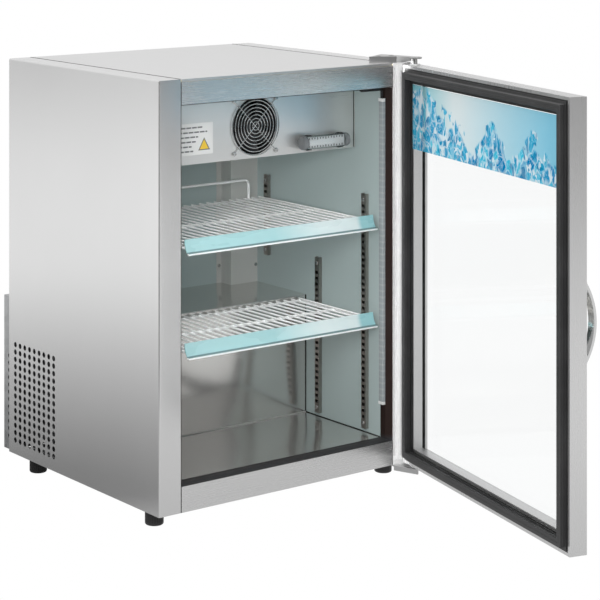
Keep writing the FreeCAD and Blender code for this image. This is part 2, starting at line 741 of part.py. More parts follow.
def filter_drier():
    """Drier with the thin capillary brazed to its top, which climbs beside the suction pipe."""
    body = Part.makeCylinder(10, 62, Vector(DRIER_X, 500, 83))
    body = fillet_where(body, 5, lambda c: near(c.z, 83) or near(c.z, 145))
    necks = Part.makeCylinder(PIPE_R + 1, 75, Vector(DRIER_X, 500, 75))
    x = RISER_X - PIPE_R - CAPILLARY_R - 0.1
    corners = [
        Vector(DRIER_X, 500, 145),
        Vector(DRIER_X, 500, 245),
        Vector(x, 500, 245),
        Vector(x, RISER_Y, 245),
        Vector(x, RISER_Y, 660),
        Vector(x, 250, 660),
        Vector(166, 250, 660),
    ]
    return fuse([body, necks, bent_rod(CAPILLARY_R, 6, corners)])


def suction_tube():
    corners = [
        Vector(166, 250, 720),
        Vector(RISER_X, 250, 720),
        Vector(RISER_X, RISER_Y, 720),
        Vector(RISER_X, RISER_Y, PORT_Z),
        Vector(RISER_X, COMPRESSOR_Y, PORT_Z),
        Vector(COMPRESSOR_X + COMPRESSOR_R + 10, COMPRESSOR_Y, PORT_Z),
    ]
    return bent_rod(PIPE_R, 12, corners)


def discharge_tube():
    corners = [
        Vector(COMPRESSOR_X - COMPRESSOR_R - 10, COMPRESSOR_Y, PORT_Z),
        Vector(0, COMPRESSOR_Y, PORT_Z),
        Vector(0, 328, PORT_Z),
        Vector(0, 328, COIL_Z),
        Vector(COIL_X, 328, COIL_Z),
        Vector(COIL_X, 337, COIL_Z),
    ]
    return bent_rod(PIPE_R, 8, corners)


def electrical_box():
    case = box(240, 300, BAY_Y + SHEET, BAY_Y + 73, 60, 150)
    return fillet_where(case, 3, lambda c: near(c.y, BAY_Y + 73))


def power_cord():
    """Cord from the electrical box out through the rear housing, with its plug hanging behind."""
    y = BODY_D + HOUSING_D + 14
    corners = [
        Vector(270, BAY_Y + 73, 80),
        Vector(270, 535, 80),
        Vector(270, 535, CORD_Z),
        Vector(CORD_X, 535, CORD_Z),
        Vector(CORD_X, y, CORD_Z),
        Vector(CORD_X, y, 190),
        Vector(130, y, 190),
        Vector(130, y, 125),
    ]
    plug = box(116, 144, y - 12, y + 12, 92, 128)
    plug = fillet_where(plug, 5, lambda c: near(abs(c.x - 130), 14) and near(abs(c.y - y), 12))
    blades = [box(x, x + 1.6, y - 6, y + 0.4, 74, 93) for x in (123, 135.4)]
    earth = Part.makeCylinder(2.4, 21, Vector(130, y + 6, 72))
    return fuse([bent_rod(4, 10, corners), plug, earth] + blades)


# Hinges and feet ------------------------------------------------------------------------------------------


def outline(points, z0, z1):
    return extrude([Vector(x, y, z0) for x, y in points], Vector(0, 0, z1 - z0))


def hinge_hole(radius, z0, z1):
    return Part.makeCylinder(radius, z1 - z0, Vector(HINGE_X, HINGE_Y, z0))


def left_step(start, end):
    """One plate thickness to the left of the line from start to end."""
    run = Vector(end[0] - start[0], end[1] - start[1], 0).normalize()
    return Vector(-run.y, run.x, 0) * PLATE_T


def upright(start, end, low_start, low_end, high):
    """A vertical plate from start to end with its thickness on the left, and a lower edge that may slope."""
    corners = [(start, low_start), (end, low_end), (end, high), (start, high)]
    return extrude([Vector(x, y, z) for (x, y), z in corners], left_step(start, end))


def top_hinge_bracket():
    """Channel that runs slantwise to the door's pin: a foot on the cabinet, a front flange that tapers along
    the arm, and a plate on top with two holes that let a driver through to the foot's screws."""
    top = BODY_H + BRACKET_H
    arm = (HINGE_X - BRACKET_R + 2, HINGE_Y)
    tip = (HINGE_X + BRACKET_R - 2, HINGE_Y)
    foot = [BRACKET_CORNER, BRACKET_FRONT, (BRACKET_FRONT[0] + 27, 0), BRACKET_REAR]
    bend = [Vector(*BRACKET_FRONT, 0)]
    bend += [bend[0] + left_step(BRACKET_FRONT, arm), bend[0] + left_step(BRACKET_CORNER, BRACKET_FRONT)]
    parts = [
        outline([BRACKET_CORNER, BRACKET_FRONT, arm, tip, BRACKET_REAR], top - PLATE_T, top),
        hinge_hole(BRACKET_R, top - PLATE_T, top),
        outline(foot, BODY_H, BODY_H + PLATE_T),
        upright(BRACKET_CORNER, BRACKET_FRONT, BODY_H, BODY_H, top),
        upright(BRACKET_FRONT, arm, BODY_H, top - 7.5, top),
        outline([(point.x, point.y) for point in bend], BODY_H, top),
    ]
    holes = [Part.makeCylinder(HEAD_R + 1.5, 9, Vector(x, y, top - 5)) for x, y in BRACKET_SCREWS]
    bracket = fuse(parts).cut(Part.makeCompound(holes))
    return clear_screws(bracket.cut(hinge_hole(PIN_R, BODY_H, top + 1)))


def bottom_hinge_bracket():
    """Flat plate under the cabinet with an arm below the door's pin and one edge turned down."""
    arm = [(266, 37), (312, 37), (312, -36), (306, -50), (283, -54), (264, -4), (266, 0)]
    plate = outline(arm, -PLATE_T, 0)
    edge = outline([(283, -54), (286, -54), (267, -4), (264, -4)], -10, 0)
    return clear_screws(fuse([plate, edge]).cut(hinge_hole(PIN_R, -20, 1)))


def hinge_pins():
    """Top pin through its bracket; bottom pin with a collar that carries the door."""
    top = hinge_hole(PIN_R, DOOR_Z1 - 12.5, BODY_H + BRACKET_H)
    bottom = hinge_hole(PIN_R, -PLATE_T, DOOR_Z0 + 12.5)
    collar = hinge_hole(BUSH_R, 0, DOOR_Z0 - 2.5 - RUNNING)
    return Part.makeCompound([top, fuse([bottom, collar])])


def levelling_foot(place):
    """Ribbed round foot on a stem that screws up into the cabinet."""
    height = FOOT_H + FOOT_TOP
    pad = Part.makeCylinder(FOOT_R, height, Vector(0, 0, -FOOT_H))
    pad = fillet_where(pad, 3.5, lambda c: near(c.z, -FOOT_H))
    grooves = []
    for i in range(RIBS):
        angle = math.radians(360 / RIBS * i)
        corner = Vector(FOOT_R * math.cos(angle), FOOT_R * math.sin(angle), 6 - FOOT_H)
        grooves.append(Part.makeCylinder(0.9, height, corner))
    stem = Part.makeCylinder(STEM_R, 52 - FOOT_H / 2, Vector(0, 0, -FOOT_H / 2))
    foot = fuse([pad.cut(Part.makeCompound(grooves)), stem])
    foot.translate(place)
    return foot


# Door, modelled shut --------------------------------------------------------------------------------------


def door_frame():
    """Folded steel skin: front ring, four edges, a narrow flange behind and returns around the window."""
    skin = box(-HALF_W, HALF_W, DOOR_FACE, DOOR_BACK, DOOR_Z0, DOOR_Z1)
    skin = fillet_where(skin, 1.5, lambda c: near(c.y, DOOR_FACE))
    half = HALF_W - SHEET
    hollow = box(-half, half, DOOR_FACE + SHEET, DOOR_BACK - SHEET, DOOR_Z0 + SHEET, DOOR_Z1 - SHEET)
    behind = box(-half + 5, half - 5, DOOR_BACK - 2, DOOR_BACK + 1, DOOR_Z0 + 6, DOOR_Z1 - 6)
    window = box(-WINDOW_X, WINDOW_X, DOOR_FACE - 1, DOOR_FACE + 6, WINDOW_Z0, WINDOW_Z1)
    returns = box(
        -WINDOW_X - SHEET, WINDOW_X + SHEET, DOOR_FACE, GLASS_Y - SHEET, WINDOW_Z0 - SHEET, WINDOW_Z1 + SHEET
    )
    skin = fuse([skin.cut(hollow).cut(behind), returns]).cut(window)
    holes = [hinge_hole(BUSH_R, 0, BODY_H)]
    for z in handle_ends():
        holes.append(rod(HANDLE_SCREW_R, Vector(HANDLE_X, DOOR_FACE - 1, z), Vector(HANDLE_X, GLASS_Y, z)))
    return skin.cut(Part.makeCompound(holes))


def door_inner_frame():
    """Plastic frame that fills the skin and holds the glass and the gasket."""
    half = HALF_W - SHEET
    core = box(-half, half, DOOR_FACE + SHEET, DOOR_BACK - SHEET, DOOR_Z0 + SHEET, DOOR_Z1 - SHEET)
    step = box(-half + 5, half - 5, DOOR_BACK - SHEET, DOOR_BACK, DOOR_Z0 + 6, DOOR_Z1 - 6)
    window = box(-WINDOW_X, WINDOW_X, DOOR_FACE, 0, WINDOW_Z0, WINDOW_Z1)
    returns = box(
        -WINDOW_X - SHEET, WINDOW_X + SHEET, DOOR_FACE, GLASS_Y - SHEET, WINDOW_Z0 - SHEET, WINDOW_Z1 + SHEET
    )
    pocket = box(-GLASS_X, GLASS_X, GLASS_Y, GLASS_Y + 2 * GLASS_T + SPACER_T, GLASS_Z0, GLASS_Z1)
    holes = [hinge_hole(BUSH_R, 0, DOOR_Z0 + 14.5), hinge_hole(BUSH_R, DOOR_Z1 - 14.5, BODY_H)]
    for z in handle_ends():
        holes.append(rod(5, Vector(HANDLE_X, DOOR_FACE, z), Vector(HANDLE_X, DOOR_FACE + 5, z)))
    return fuse([core, step]).cut(Part.makeCompound([window, returns, pocket] + holes))


def glass_sheet(y):
    return box(-GLASS_X, GLASS_X, y, y + GLASS_T, GLASS_Z0, GLASS_Z1)


def ring(half, z0, z1, width, y0, y1):
    """A rectangular ring of the given width inside an outline."""
    inside = box(width - half, half - width, y0 - 1, y1 + 1, z0 + width, z1 - width)
    return box(-half, half, y0, y1, z0, z1).cut(inside)


def glass_spacer():
    return ring(GLASS_X, GLASS_Z0, GLASS_Z1, 9, GLASS_Y + GLASS_T, GLASS_Y + GLASS_T + SPACER_T)


def door_gasket():
    """Magnetic seal: a flat base, a narrow neck and a hollow-looking bulb with rounded edges."""
    half = HALF_W - GASKET_OUT
    z0 = DOOR_Z0 + GASKET_OUT
    z1 = DOOR_Z1 - GASKET_OUT
    base = ring(half, z0, z1, GASKET_W, DOOR_BACK, DOOR_BACK + 3)
    neck = ring(half - 4, z0 + 4, z1 - 4, GASKET_W - 8, DOOR_BACK + 3, DOOR_BACK + 5)
    bulb = ring(half - 1.5, z0 + 1.5, z1 - 1.5, GASKET_W - 2.5, DOOR_BACK + 5, DOOR_BACK + 11)
    bulb = fillet_where(bulb, 1.5, lambda c: near(c.y, DOOR_BACK + 11))
    return fuse([base, neck, bulb])


def door_graphic():
    """Printed film on the inner glass, across the top of the window."""
    y = GLASS_Y + 2 * GLASS_T + SPACER_T
    return box(1.5 - WINDOW_X, WINDOW_X - 1.5, y, y + 0.3, GRAPHIC_Z0, WINDOW_Z1 - 1.5)


def hinge_bushes():
    top_body = hinge_hole(BUSH_R, DOOR_Z1 - 14.5, DOOR_Z1)
    top = fuse([top_body, hinge_hole(BUSH_R + 2, DOOR_Z1, DOOR_Z1 + 2.5)])
    bottom_body = hinge_hole(BUSH_R, DOOR_Z0, DOOR_Z0 + 14.5)
    bottom = fuse([bottom_body, hinge_hole(BUSH_R + 2, DOOR_Z0 - 2.5, DOOR_Z0)])
    bore = hinge_hole(PIN_R + RUNNING, -9, BODY_H + 9)
    return Part.makeCompound([top.cut(bore), bottom.cut(bore)])


def handle_ends():
    """Heights of the handle's two screws."""
    return [HANDLE_Z - HANDLE_CHORD / 2 + 13, HANDLE_Z + HANDLE_CHORD / 2 - 13]


def door_handle():
    """Bow handle: a flat strap bent to an arc, on two pads."""
    radius = ((HANDLE_CHORD / 2) ** 2 + HANDLE_RISE**2) / (2 * HANDLE_RISE)
    centre = Vector(HANDLE_X - 10, DOOR_FACE - HANDLE_RISE + radius, HANDLE_Z)
    left = HANDLE_X - 10
    right = HANDLE_X + 10
    strap = Part.makeCylinder(radius, 20, centre, X_AXIS)
    strap = strap.cut(Part.makeCylinder(radius - 5, 20, centre, X_AXIS))
    strap = strap.common(box(left, right, DOOR_FACE - 40, DOOR_FACE, 0, BODY_H))
    pads = []
    holes = []
    for z in handle_ends():
        pads.append(box(left, right, DOOR_FACE - 4, DOOR_FACE, z - 9, z + 9))
        holes.append(rod(HANDLE_SCREW_R, Vector(HANDLE_X, DOOR_FACE - 3, z), Vector(HANDLE_X, 0, z)))
    return fuse([strap] + pads).cut(Part.makeCompound(holes))


def handle_screws():
    """Screws from inside the door into the handle's pads."""
    screws = []
    for z in handle_ends():
        head = rod(5, Vector(HANDLE_X, DOOR_FACE + SHEET, z), Vector(HANDLE_X, DOOR_FACE + 5, z))
        shank = rod(HANDLE_SCREW_R, Vector(HANDLE_X, DOOR_FACE - 3, z), Vector(HANDLE_X, DOOR_FACE + 2, z))
        screws.append(fuse([head, shank]))
    return Part.makeCompound(screws)


# Export ---------------------------------------------------------------------------------------------------

os.makedirs("parts", exist_ok=True)

left_side = side_panel()
save("side_panel_left", left_side)
save("side_panel_right", clear_screws(mirror_x(left_side)))
save("top_panel", top_panel())
save("back_panel", back_panel())
save("base_pan", base_pan())
save("front_header", front_header())
save("bottom_rail", bottom_rail())
save("breaker_frame", breaker_frame())
save("foam_insulation", foam_insulation())
save("liner_shell", liner_shell())
save("liner_floor", liner_floor())
save("hump_cover", hump_cover())
save("rear_duct_cover", rear_duct_cover())
save("bay_liner", bay_liner())
save("rear_housing", rear_housing())
save("panel_screws", panel_screws())
save("compressor", compressor())
save("compressor_grommets", compressor_grommets())
save("condenser_coil", condenser_coil())
save("condenser_fan_frame", condenser_fan_frame())
save("condenser_fan_blade", condenser_fan_blade())
save("filter_drier", filter_drier())
save("suction_tube", suction_tube())
save("discharge_tube", discharge_tube())
save("electrical_box", electrical_box())
save("power_cord", power_cord())
save("evaporator_cover", evaporator_cover())
save("evaporator_coil", evaporator_coil())
save("evaporator_fan_frame", evaporator_fan_frame())
save("evaporator_fan_blade", evaporator_fan_blade())
save("fan_guard", fan_guard())
save("drip_pan", drip_pan())
save("info_label", info_label())
save("thermometer", thermometer())
save("thermostat_knob", thermostat_knob())
save("led_strip", led_strip())
save("led_cable", led_cable())
save("shelf_pilasters", shelf_pilasters())
save("shelf_clips", shelf_clips())
save("upper_shelf", upper_shelf())
save("lower_shelf", shelf(LOWER_Z, LOWER_REAR))
save("upper_label_strip", label_strip(UPPER_Z))
save("lower_label_strip", label_strip(LOWER_Z))
save("top_hinge_bracket", top_hinge_bracket())
save("bottom_hinge_bracket", bottom_hinge_bracket())
save("hinge_pins", hinge_pins())

for name, place in zip(("left_front", "left_rear", "right_front", "right_rear"), foot_places()):
    save(f"foot_{name}", levelling_foot(place))

save_door("door_frame", door_frame())
save_door("door_inner_frame", door_inner_frame())
save_door("outer_glass", glass_sheet(GLASS_Y))
save_door("glass_spacer", glass_spacer())
save_door("inner_glass", glass_sheet(GLASS_Y + GLASS_T + SPACER_T))
save_door("door_gasket", door_gasket())
save_door("door_graphic", door_graphic())
save_door("hinge_bushes", hinge_bushes())
save_door("door_handle", door_handle())
save_door("handle_screws", handle_screws())
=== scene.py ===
import json
import math

import bmesh
import bpy
from mathutils import Matrix, Vector


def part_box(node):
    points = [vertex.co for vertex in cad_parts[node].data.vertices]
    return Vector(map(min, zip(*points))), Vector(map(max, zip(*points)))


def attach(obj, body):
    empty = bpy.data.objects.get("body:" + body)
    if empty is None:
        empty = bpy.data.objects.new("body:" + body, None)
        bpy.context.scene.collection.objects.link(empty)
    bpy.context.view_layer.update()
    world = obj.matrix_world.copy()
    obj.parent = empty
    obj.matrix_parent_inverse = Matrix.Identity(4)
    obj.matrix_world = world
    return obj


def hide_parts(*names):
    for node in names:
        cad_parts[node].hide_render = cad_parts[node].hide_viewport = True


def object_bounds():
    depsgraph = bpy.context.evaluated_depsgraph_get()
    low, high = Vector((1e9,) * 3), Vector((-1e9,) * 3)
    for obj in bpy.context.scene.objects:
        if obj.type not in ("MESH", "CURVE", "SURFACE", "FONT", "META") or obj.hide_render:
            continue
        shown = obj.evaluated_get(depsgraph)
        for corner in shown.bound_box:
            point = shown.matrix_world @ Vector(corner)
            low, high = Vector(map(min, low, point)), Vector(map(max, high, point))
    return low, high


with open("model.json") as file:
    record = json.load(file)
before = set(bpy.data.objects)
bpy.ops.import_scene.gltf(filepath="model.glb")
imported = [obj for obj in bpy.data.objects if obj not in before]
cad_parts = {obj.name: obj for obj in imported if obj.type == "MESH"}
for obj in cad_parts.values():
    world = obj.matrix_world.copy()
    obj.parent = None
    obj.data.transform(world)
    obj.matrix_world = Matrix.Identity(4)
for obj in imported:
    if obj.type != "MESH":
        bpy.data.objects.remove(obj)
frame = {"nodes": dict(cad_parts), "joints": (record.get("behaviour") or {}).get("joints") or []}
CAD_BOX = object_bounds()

# Undercounter refrigerator. Metres, in the row frame: +Z up, the door towards -Y, hinged on the +X side.
# The door is open at rest, so its pieces are built as if it were shut and then turned about the hinge.

NODES = frame["nodes"]
SWING = next(j for j in frame["joints"] if j["name"] == "door_swing")
HINGE = Vector(SWING["pos_m"])
OPEN = math.radians(-SWING["range_deg"][0])
TO_OPEN = Matrix.Translation(HINGE) @ Matrix.Rotation(OPEN, 4, "Z") @ Matrix.Translation(-HINGE)
TO_SHUT = TO_OPEN.inverted()


def shut_box(node):
    """(lowest corner, highest corner) of a door node, as if the door were shut."""
    points = [TO_SHUT @ v.co for v in NODES[node].data.vertices]
    low = Vector(min(p[i] for p in points) for i in range(3))
    high = Vector(max(p[i] for p in points) for i in range(3))
    return low, high


# Node helpers ---------------------------------------------------------------------------------------------


class Shader:
    """A material, or a world, under construction. Most methods add a node and return its main output."""

    def __init__(self, name, world=None):
        self.owner = world or bpy.data.materials.new(name)
        self.owner.use_nodes = True
        self.tree = self.owner.node_tree
        self.tree.nodes.clear()
        self.output = self.tree.nodes.new("ShaderNodeOutputWorld" if world else "ShaderNodeOutputMaterial")

    def add(self, kind, inputs=None, **settings):
        node = self.tree.nodes.new(kind)
        for key, value in settings.items():
            setattr(node, key, value)
        for key, value in (inputs or {}).items():
            self.set(node.inputs[key], value)
        return node

    def set(self, socket, value):
        if isinstance(value, bpy.types.NodeSocket):
            self.tree.links.new(value, socket)
        elif isinstance(value, tuple) and socket.type == "RGBA" and len(value) == 3:
            socket.default_value = (*value, 1)
        else:
            socket.default_value = value

    def place(self):
        """Position in the row frame."""
        return self.add("ShaderNodeTexCoord").outputs["Object"]

    def door_place(self):
        """Position from the hinge as if the door were shut: x is negative towards the free edge."""
        moved = self.add("ShaderNodeVectorMath", {0: self.place(), 1: tuple(HINGE)}, operation="SUBTRACT")
        turned = self.add("ShaderNodeVectorRotate", {"Vector": moved.outputs[0], "Angle": -OPEN})
        return turned.outputs[0]

    def axis(self, vector, index):
        return self.add("ShaderNodeSeparateXYZ", {0: vector}).outputs[index]

    def along(self, vector, way):
        """How far a position lies along a direction."""
        return self.add("ShaderNodeVectorMath", {0: vector, 1: way}, operation="DOT_PRODUCT").outputs["Value"]

    def math(self, operation, a, b=0.0, clamp=False):
        return self.add("ShaderNodeMath", {0: a, 1: b}, operation=operation, use_clamp=clamp).outputs[0]

    def scaled(self, vector, scale):
        return self.add("ShaderNodeMapping", {"Vector": vector, "Scale": scale}).outputs[0]

    def noise(self, vector, scale=1.0, detail=2.0, rough=0.5, distortion=0.0):
        inputs = {"Vector": vector, "Scale": scale, "Detail": detail}
        inputs |= {"Roughness": rough, "Distortion": distortion}
        return self.add("ShaderNodeTexNoise", inputs).outputs[0]

    def cells(self, vector, scale):
        """A random colour for each Voronoi cell."""
        return self.add("ShaderNodeTexVoronoi", {"Vector": vector, "Scale": scale}).outputs["Color"]

    def cell_edges(self, vector, scale):
        """Distance to the nearest edge between Voronoi cells."""
        inputs = {"Vector": vector, "Scale": scale}
        return self.add("ShaderNodeTexVoronoi", inputs, feature="DISTANCE_TO_EDGE").outputs[0]

    def range(self, value, low, high, to_low, to_high):
        inputs = {"Value": value, "From Min": low, "From Max": high, "To Min": to_low, "To Max": to_high}
        return self.add("ShaderNodeMapRange", inputs).outputs[0]

    def mix(self, factor, a, b):
        node = self.add("ShaderNodeMix", data_type="RGBA")
        self.set(node.inputs[0], factor)
        self.set(node.inputs[6], a)
        self.set(node.inputs[7], b)
        return node.outputs[2]

    def bump(self, height, strength, distance, normal=None):
        inputs = {"Height": height, "Strength": strength, "Distance": distance}
        if normal:
            inputs["Normal"] = normal
        return self.add("ShaderNodeBump", inputs).outputs[0]

    def white_to_camera(self, level):
        """One for a ray from the camera, and the level for any other."""
        seen = self.add("ShaderNodeLightPath").outputs["Is Camera Ray"]
        return self.math("ADD", self.math("MULTIPLY", level, self.math("SUBTRACT", 1.0, seen)), seen)

    def principled(self, inputs):
        return self.add("ShaderNodeBsdfPrincipled", inputs).outputs[0]

    def finish(self, surface):
        self.tree.links.new(surface, self.output.inputs["Surface"])
        return self.owner


# Materials ------------------------------------------------------------------------------------------------

# Scales of the noise that makes the brush marks, across them and along them.
ACROSS = 1400.0
ALONG = 9.0


def brushed(name, grain, tone, rough, on_door=False, depth=0.03, smudge=0.015, metal=0.85, wave=0.0):
    """Sheet metal with fine brushing along one axis, faint smudges, an uneven sheen and, with wave above
    zero, shallow hollows."""
    s = Shader(name)
    place = s.door_place() if on_door else s.place()
    scale = tuple(ALONG if axis == grain else ACROSS for axis in "xyz")
    grain_lines = s.noise(s.scaled(place, scale), 1.0, 3.0, 0.65)
    broad = tuple(2.5 if axis == grain else 60.0 for axis in "xyz")
    bands = s.noise(s.scaled(place, broad), 1.0, 2.0)
    smudges = s.noise(place, 5.0, 3.0, 0.6, 0.4)
    light = tuple(min(1.0, c * 1.03) for c in tone)
    dark = tuple(c * 0.97 for c in tone)
    streaks = s.math("ADD", s.math("MULTIPLY", grain_lines, 0.6), s.math("MULTIPLY", bands, 0.4))
    colour = s.mix(streaks, dark, light)
    sheen = s.range(grain_lines, 0.3, 0.7, rough - 0.02, rough + 0.02)
    sheen = s.math("ADD", sheen, s.range(smudges, 0.35, 0.65, -smudge, smudge), clamp=True)
    hollows = s.bump(s.noise(place, 3.2, 1.0), wave, 0.05)
    normal = s.bump(grain_lines, depth, 0.0004, hollows)
    inputs = {"Base Color": colour, "Metallic": metal, "Roughness": sheen, "Normal": normal}
    return s.finish(s.principled(inputs))


def painted(name, colour, rough, coat=0.0, peel=0.08, fleck=0.06):
    """Smooth paint or powder coat with a faint orange peel and slight changes of tone."""
    s = Shader(name)
    place = s.place()
    fine = s.noise(place, 900.0, 2.0)
    broad = s.noise(place, 4.0, 3.0, 0.55)
    light = tuple(min(1.0, c * (1 + fleck)) for c in colour)
    dark = tuple(c * (1 - fleck) for c in colour)
    tone = s.mix(broad, dark, light)
    inputs = {
        "Base Color": tone,
        "Roughness": s.range(broad, 0.3, 0.7, rough - 0.04, rough + 0.05),
        "Coat Weight": coat,
        "Coat Roughness": 0.12,
        "Normal": s.bump(fine, peel, 0.0003),
    }
    return s.finish(s.principled(inputs))


def moulded(name, colour, rough, grain=900.0, depth=0.15, wear=0.1, shine=0.5):
    """Moulded plastic or rubber with a fine texture and lighter, rougher patches."""
    s = Shader(name)
    place = s.place()
    fine = s.noise(place, grain, 3.0, 0.6)
    patches = s.noise(place, 14.0, 4.0, 0.6)
    light = tuple(min(1.0, c * 1.35 + 0.006) for c in colour)
    tone = s.mix(s.range(patches, 0.45, 0.75, 0.0, 1.0), colour, light)
    inputs = {
        "Base Color": tone,
        "Roughness": s.range(patches, 0.3, 0.7, rough - wear / 2, rough + wear / 2),
        "Specular IOR Level": shine,
        "Normal": s.bump(fine, depth, 0.0003),
    }
    return s.finish(s.principled(inputs))


def plated(name, colour, rough, spangle=0.0):
    """Plated or galvanised metal; spangle adds zinc crystals."""
    s = Shader(name)
    place = s.place()
    tint = s.axis(s.cells(place, 90.0), 0)
    fine = s.noise(place, 600.0, 3.0)
    dark = tuple(c * (1 - 0.12 - spangle) for c in colour)
    share = s.math("ADD", s.math("MULTIPLY", tint, spangle), s.math("MULTIPLY", fine, 1 - spangle))
    tone = s.mix(share, dark, colour)
    inputs = {
        "Base Color": tone,
        "Metallic": 1.0,
        "Roughness": s.math("ADD", s.range(tint, 0.0, 1.0, -0.08 * spangle, 0.1 * spangle), rough),
        "Normal": s.bump(fine, 0.06, 0.0002),
    }
    return s.finish(s.principled(inputs))


def clear_glass(name, tint, shine=0.12, haze=0.0):
    """Clear glass: see-through, with reflections that grow at a glancing angle and faint wipe marks."""
    s = Shader(name)
    wipes = s.noise(s.scaled(s.place(), (3.0, 3.0, 9.0)), 1.0, 4.0, 0.6, 1.5)
    fresnel = s.add("ShaderNodeFresnel", {"IOR": 1.45}).outputs[0]
    facing = s.math("ADD", s.math("MULTIPLY", fresnel, shine), haze, clamp=True)
    through = s.add("ShaderNodeBsdfTransparent", {"Color": tint}).outputs[0]
    gloss = s.range(wipes, 0.4, 0.8, 0.01, 0.06)
    mirror = {"Base Color": (0.9, 0.95, 0.95), "Roughness": gloss, "Metallic": 1.0}
    mixed = s.add("ShaderNodeMixShader", {0: facing, 1: through, 2: s.principled(mirror)}).outputs[0]
    return s.finish(mixed)


def ice_shards(s, place):
    """(colour of a heap of generic ice shards, a random number for each large shard)."""
    flat = s.scaled(place, (1.0, 0.0, 0.62))
    warp = s.add("ShaderNodeTexNoise", {"Vector": flat, "Scale": 26.0, "Detail": 3.0}).outputs["Color"]
    warp = s.add("ShaderNodeVectorMath", {0: warp, 1: (0.5, 0.5, 0.5)}, operation="SUBTRACT").outputs[0]
    warp = s.add("ShaderNodeVectorMath", {0: warp, "Scale": 0.045}, operation="SCALE").outputs[0]
    bent = s.add("ShaderNodeVectorMath", {0: flat, 1: warp}, operation="ADD").outputs[0]
    slant = {"Vector": bent, "Rotation": (0.0, 0.5, 0.0), "Scale": (1.6, 1.0, 0.7)}
    slanted = s.add("ShaderNodeMapping", slant).outputs[0]
    large = s.cells(bent, 48.0)
    small = s.cells(bent, 130.0)
    edges = s.cell_edges(bent, 48.0)
    cracks = s.cell_edges(slanted, 120.0)
    body = s.mix(s.axis(large, 0), (0.0, 0.40, 0.70), (0.12, 0.76, 0.92))
    glint = s.range(s.axis(small, 2), 0.68, 0.82, 0.0, 1.0)
    body = s.mix(glint, body, (0.88, 0.96, 0.99))
    body = s.mix(s.range(edges, 0.0, 0.10, 0.8, 0.0), body, (0.93, 0.98, 1.0))
    body = s.mix(s.range(cracks, 0.01, 0.08, 0.6, 0.0), body, (0.80, 0.95, 1.0))
    shaded = s.mix(s.range(s.axis(small, 0), 0.78, 0.95, 0.0, 0.7), body, (0.0, 0.33, 0.58))
    return shaded, s.axis(large, 1)


def ice_film(name):
    """Printed film: a pale blue wash with generic ice shards that rise from the lower edge. Light comes
    through it."""
    s = Shader(name)
    low, high = shut_box("door_graphic")
    place = s.door_place()
    across = s.range(s.axis(place, 0), high.x - HINGE.x, low.x - HINGE.x, 0.0, 1.0)
    up = s.range(s.axis(place, 2), low.z, high.z, 0.0, 1.0)
    shards, random = ice_shards(s, place)
    wave = s.math("SINE", s.math("MULTIPLY", s.math("SUBTRACT", across, 0.5), 23.0))
    hills = s.range(wave, -1.0, 1.0, 0.22, 0.60)
    skyline = s.math("MAXIMUM", s.range(across, 0.06, 0.46, 1.0, 0.16), hills)
    ragged = s.math("MULTIPLY", s.math("SUBTRACT", random, 0.5), 0.3)
    cover = s.range(s.math("SUBTRACT", s.math("ADD", skyline, ragged), up), -0.01, 0.03, 0.0, 1.0)
    wash_left = s.mix(s.range(across, 0.0, 0.3, 0.0, 1.0), (0.35, 0.74, 0.80), (0.90, 0.96, 0.97))
    wash = s.mix(s.range(across, 0.35, 0.95, 0.0, 1.0), wash_left, (0.44, 0.80, 0.93))
    colour = s.mix(cover, wash, shards)
    face = s.principled({"Base Color": colour, "Roughness": 0.25, "Coat Weight": 0.3, "Coat Roughness": 0.08})
    clear = s.add("ShaderNodeBsdfTransparent", {"Color": colour}).outputs[0]
    lit = s.add("ShaderNodeBsdfTranslucent", {"Color": colour}).outputs[0]
    through = s.add("ShaderNodeMixShader", {0: 0.35, 1: clear, 2: lit}).outputs[0]
    return s.finish(s.add("ShaderNodeMixShader", {0: 0.72, 1: face, 2: through}).outputs[0])


def strip_material(name, node):
    """Pale cyan ticket strip, whiter towards the right, with painted shade at its right end and a dark line
    above its white lower lip.
    """
    s = Shader(name)
    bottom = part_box(node)[0].z
    place = s.place()
    height = s.axis(place, 2)
    lip = s.range(height, bottom + 0.0034, bottom + 0.0028, 0.0, 1.0)
    cloudy = s.noise(s.scaled(place, (6.0, 20.0, 20.0)), 1.0, 3.0)
    body = s.mix(cloudy, (0.36, 0.62, 0.64), (0.46, 0.71, 0.73))
    along = s.axis(place, 0)
    paler = s.range(along, -0.02, 0.10, 0.0, 0.8)
    paler = s.math("MULTIPLY", paler, s.range(along, 0.205, 0.19, 0.0, 1.0))
    body = s.mix(paler, body, (0.80, 0.88, 0.88))
    # Painted shade at the right end, where the strip's concave end turns away from the light.
    body = s.mix(s.range(along, 0.195, 0.203, 0.0, 0.75), body, (0.30, 0.60, 0.64))
    line = s.range(height, bottom + 0.0030, bottom + 0.0034, 0.0, 1.0)
    line = s.math("MULTIPLY", line, s.range(height, bottom + 0.0056, bottom + 0.0050, 0.0, 1.0))
    body = s.mix(line, body, (0.16, 0.27, 0.28))
    colour = s.mix(lip, body, (0.84, 0.89, 0.89))
    fine = s.noise(place, 500.0)
    inputs = {
        "Base Color": colour,
        "Roughness": s.range(cloudy, 0.3, 0.7, 0.22, 0.34),
        "Subsurface Weight": 0.15,
        "Subsurface Radius": (0.002, 0.003, 0.003),
        "Coat Weight": 0.4,
        "Coat Roughness": 0.1,
        "Normal": s.bump(fine, 0.03, 0.0002),
    }
    return s.finish(s.principled(inputs))


DIODE_PITCH = 0.0125


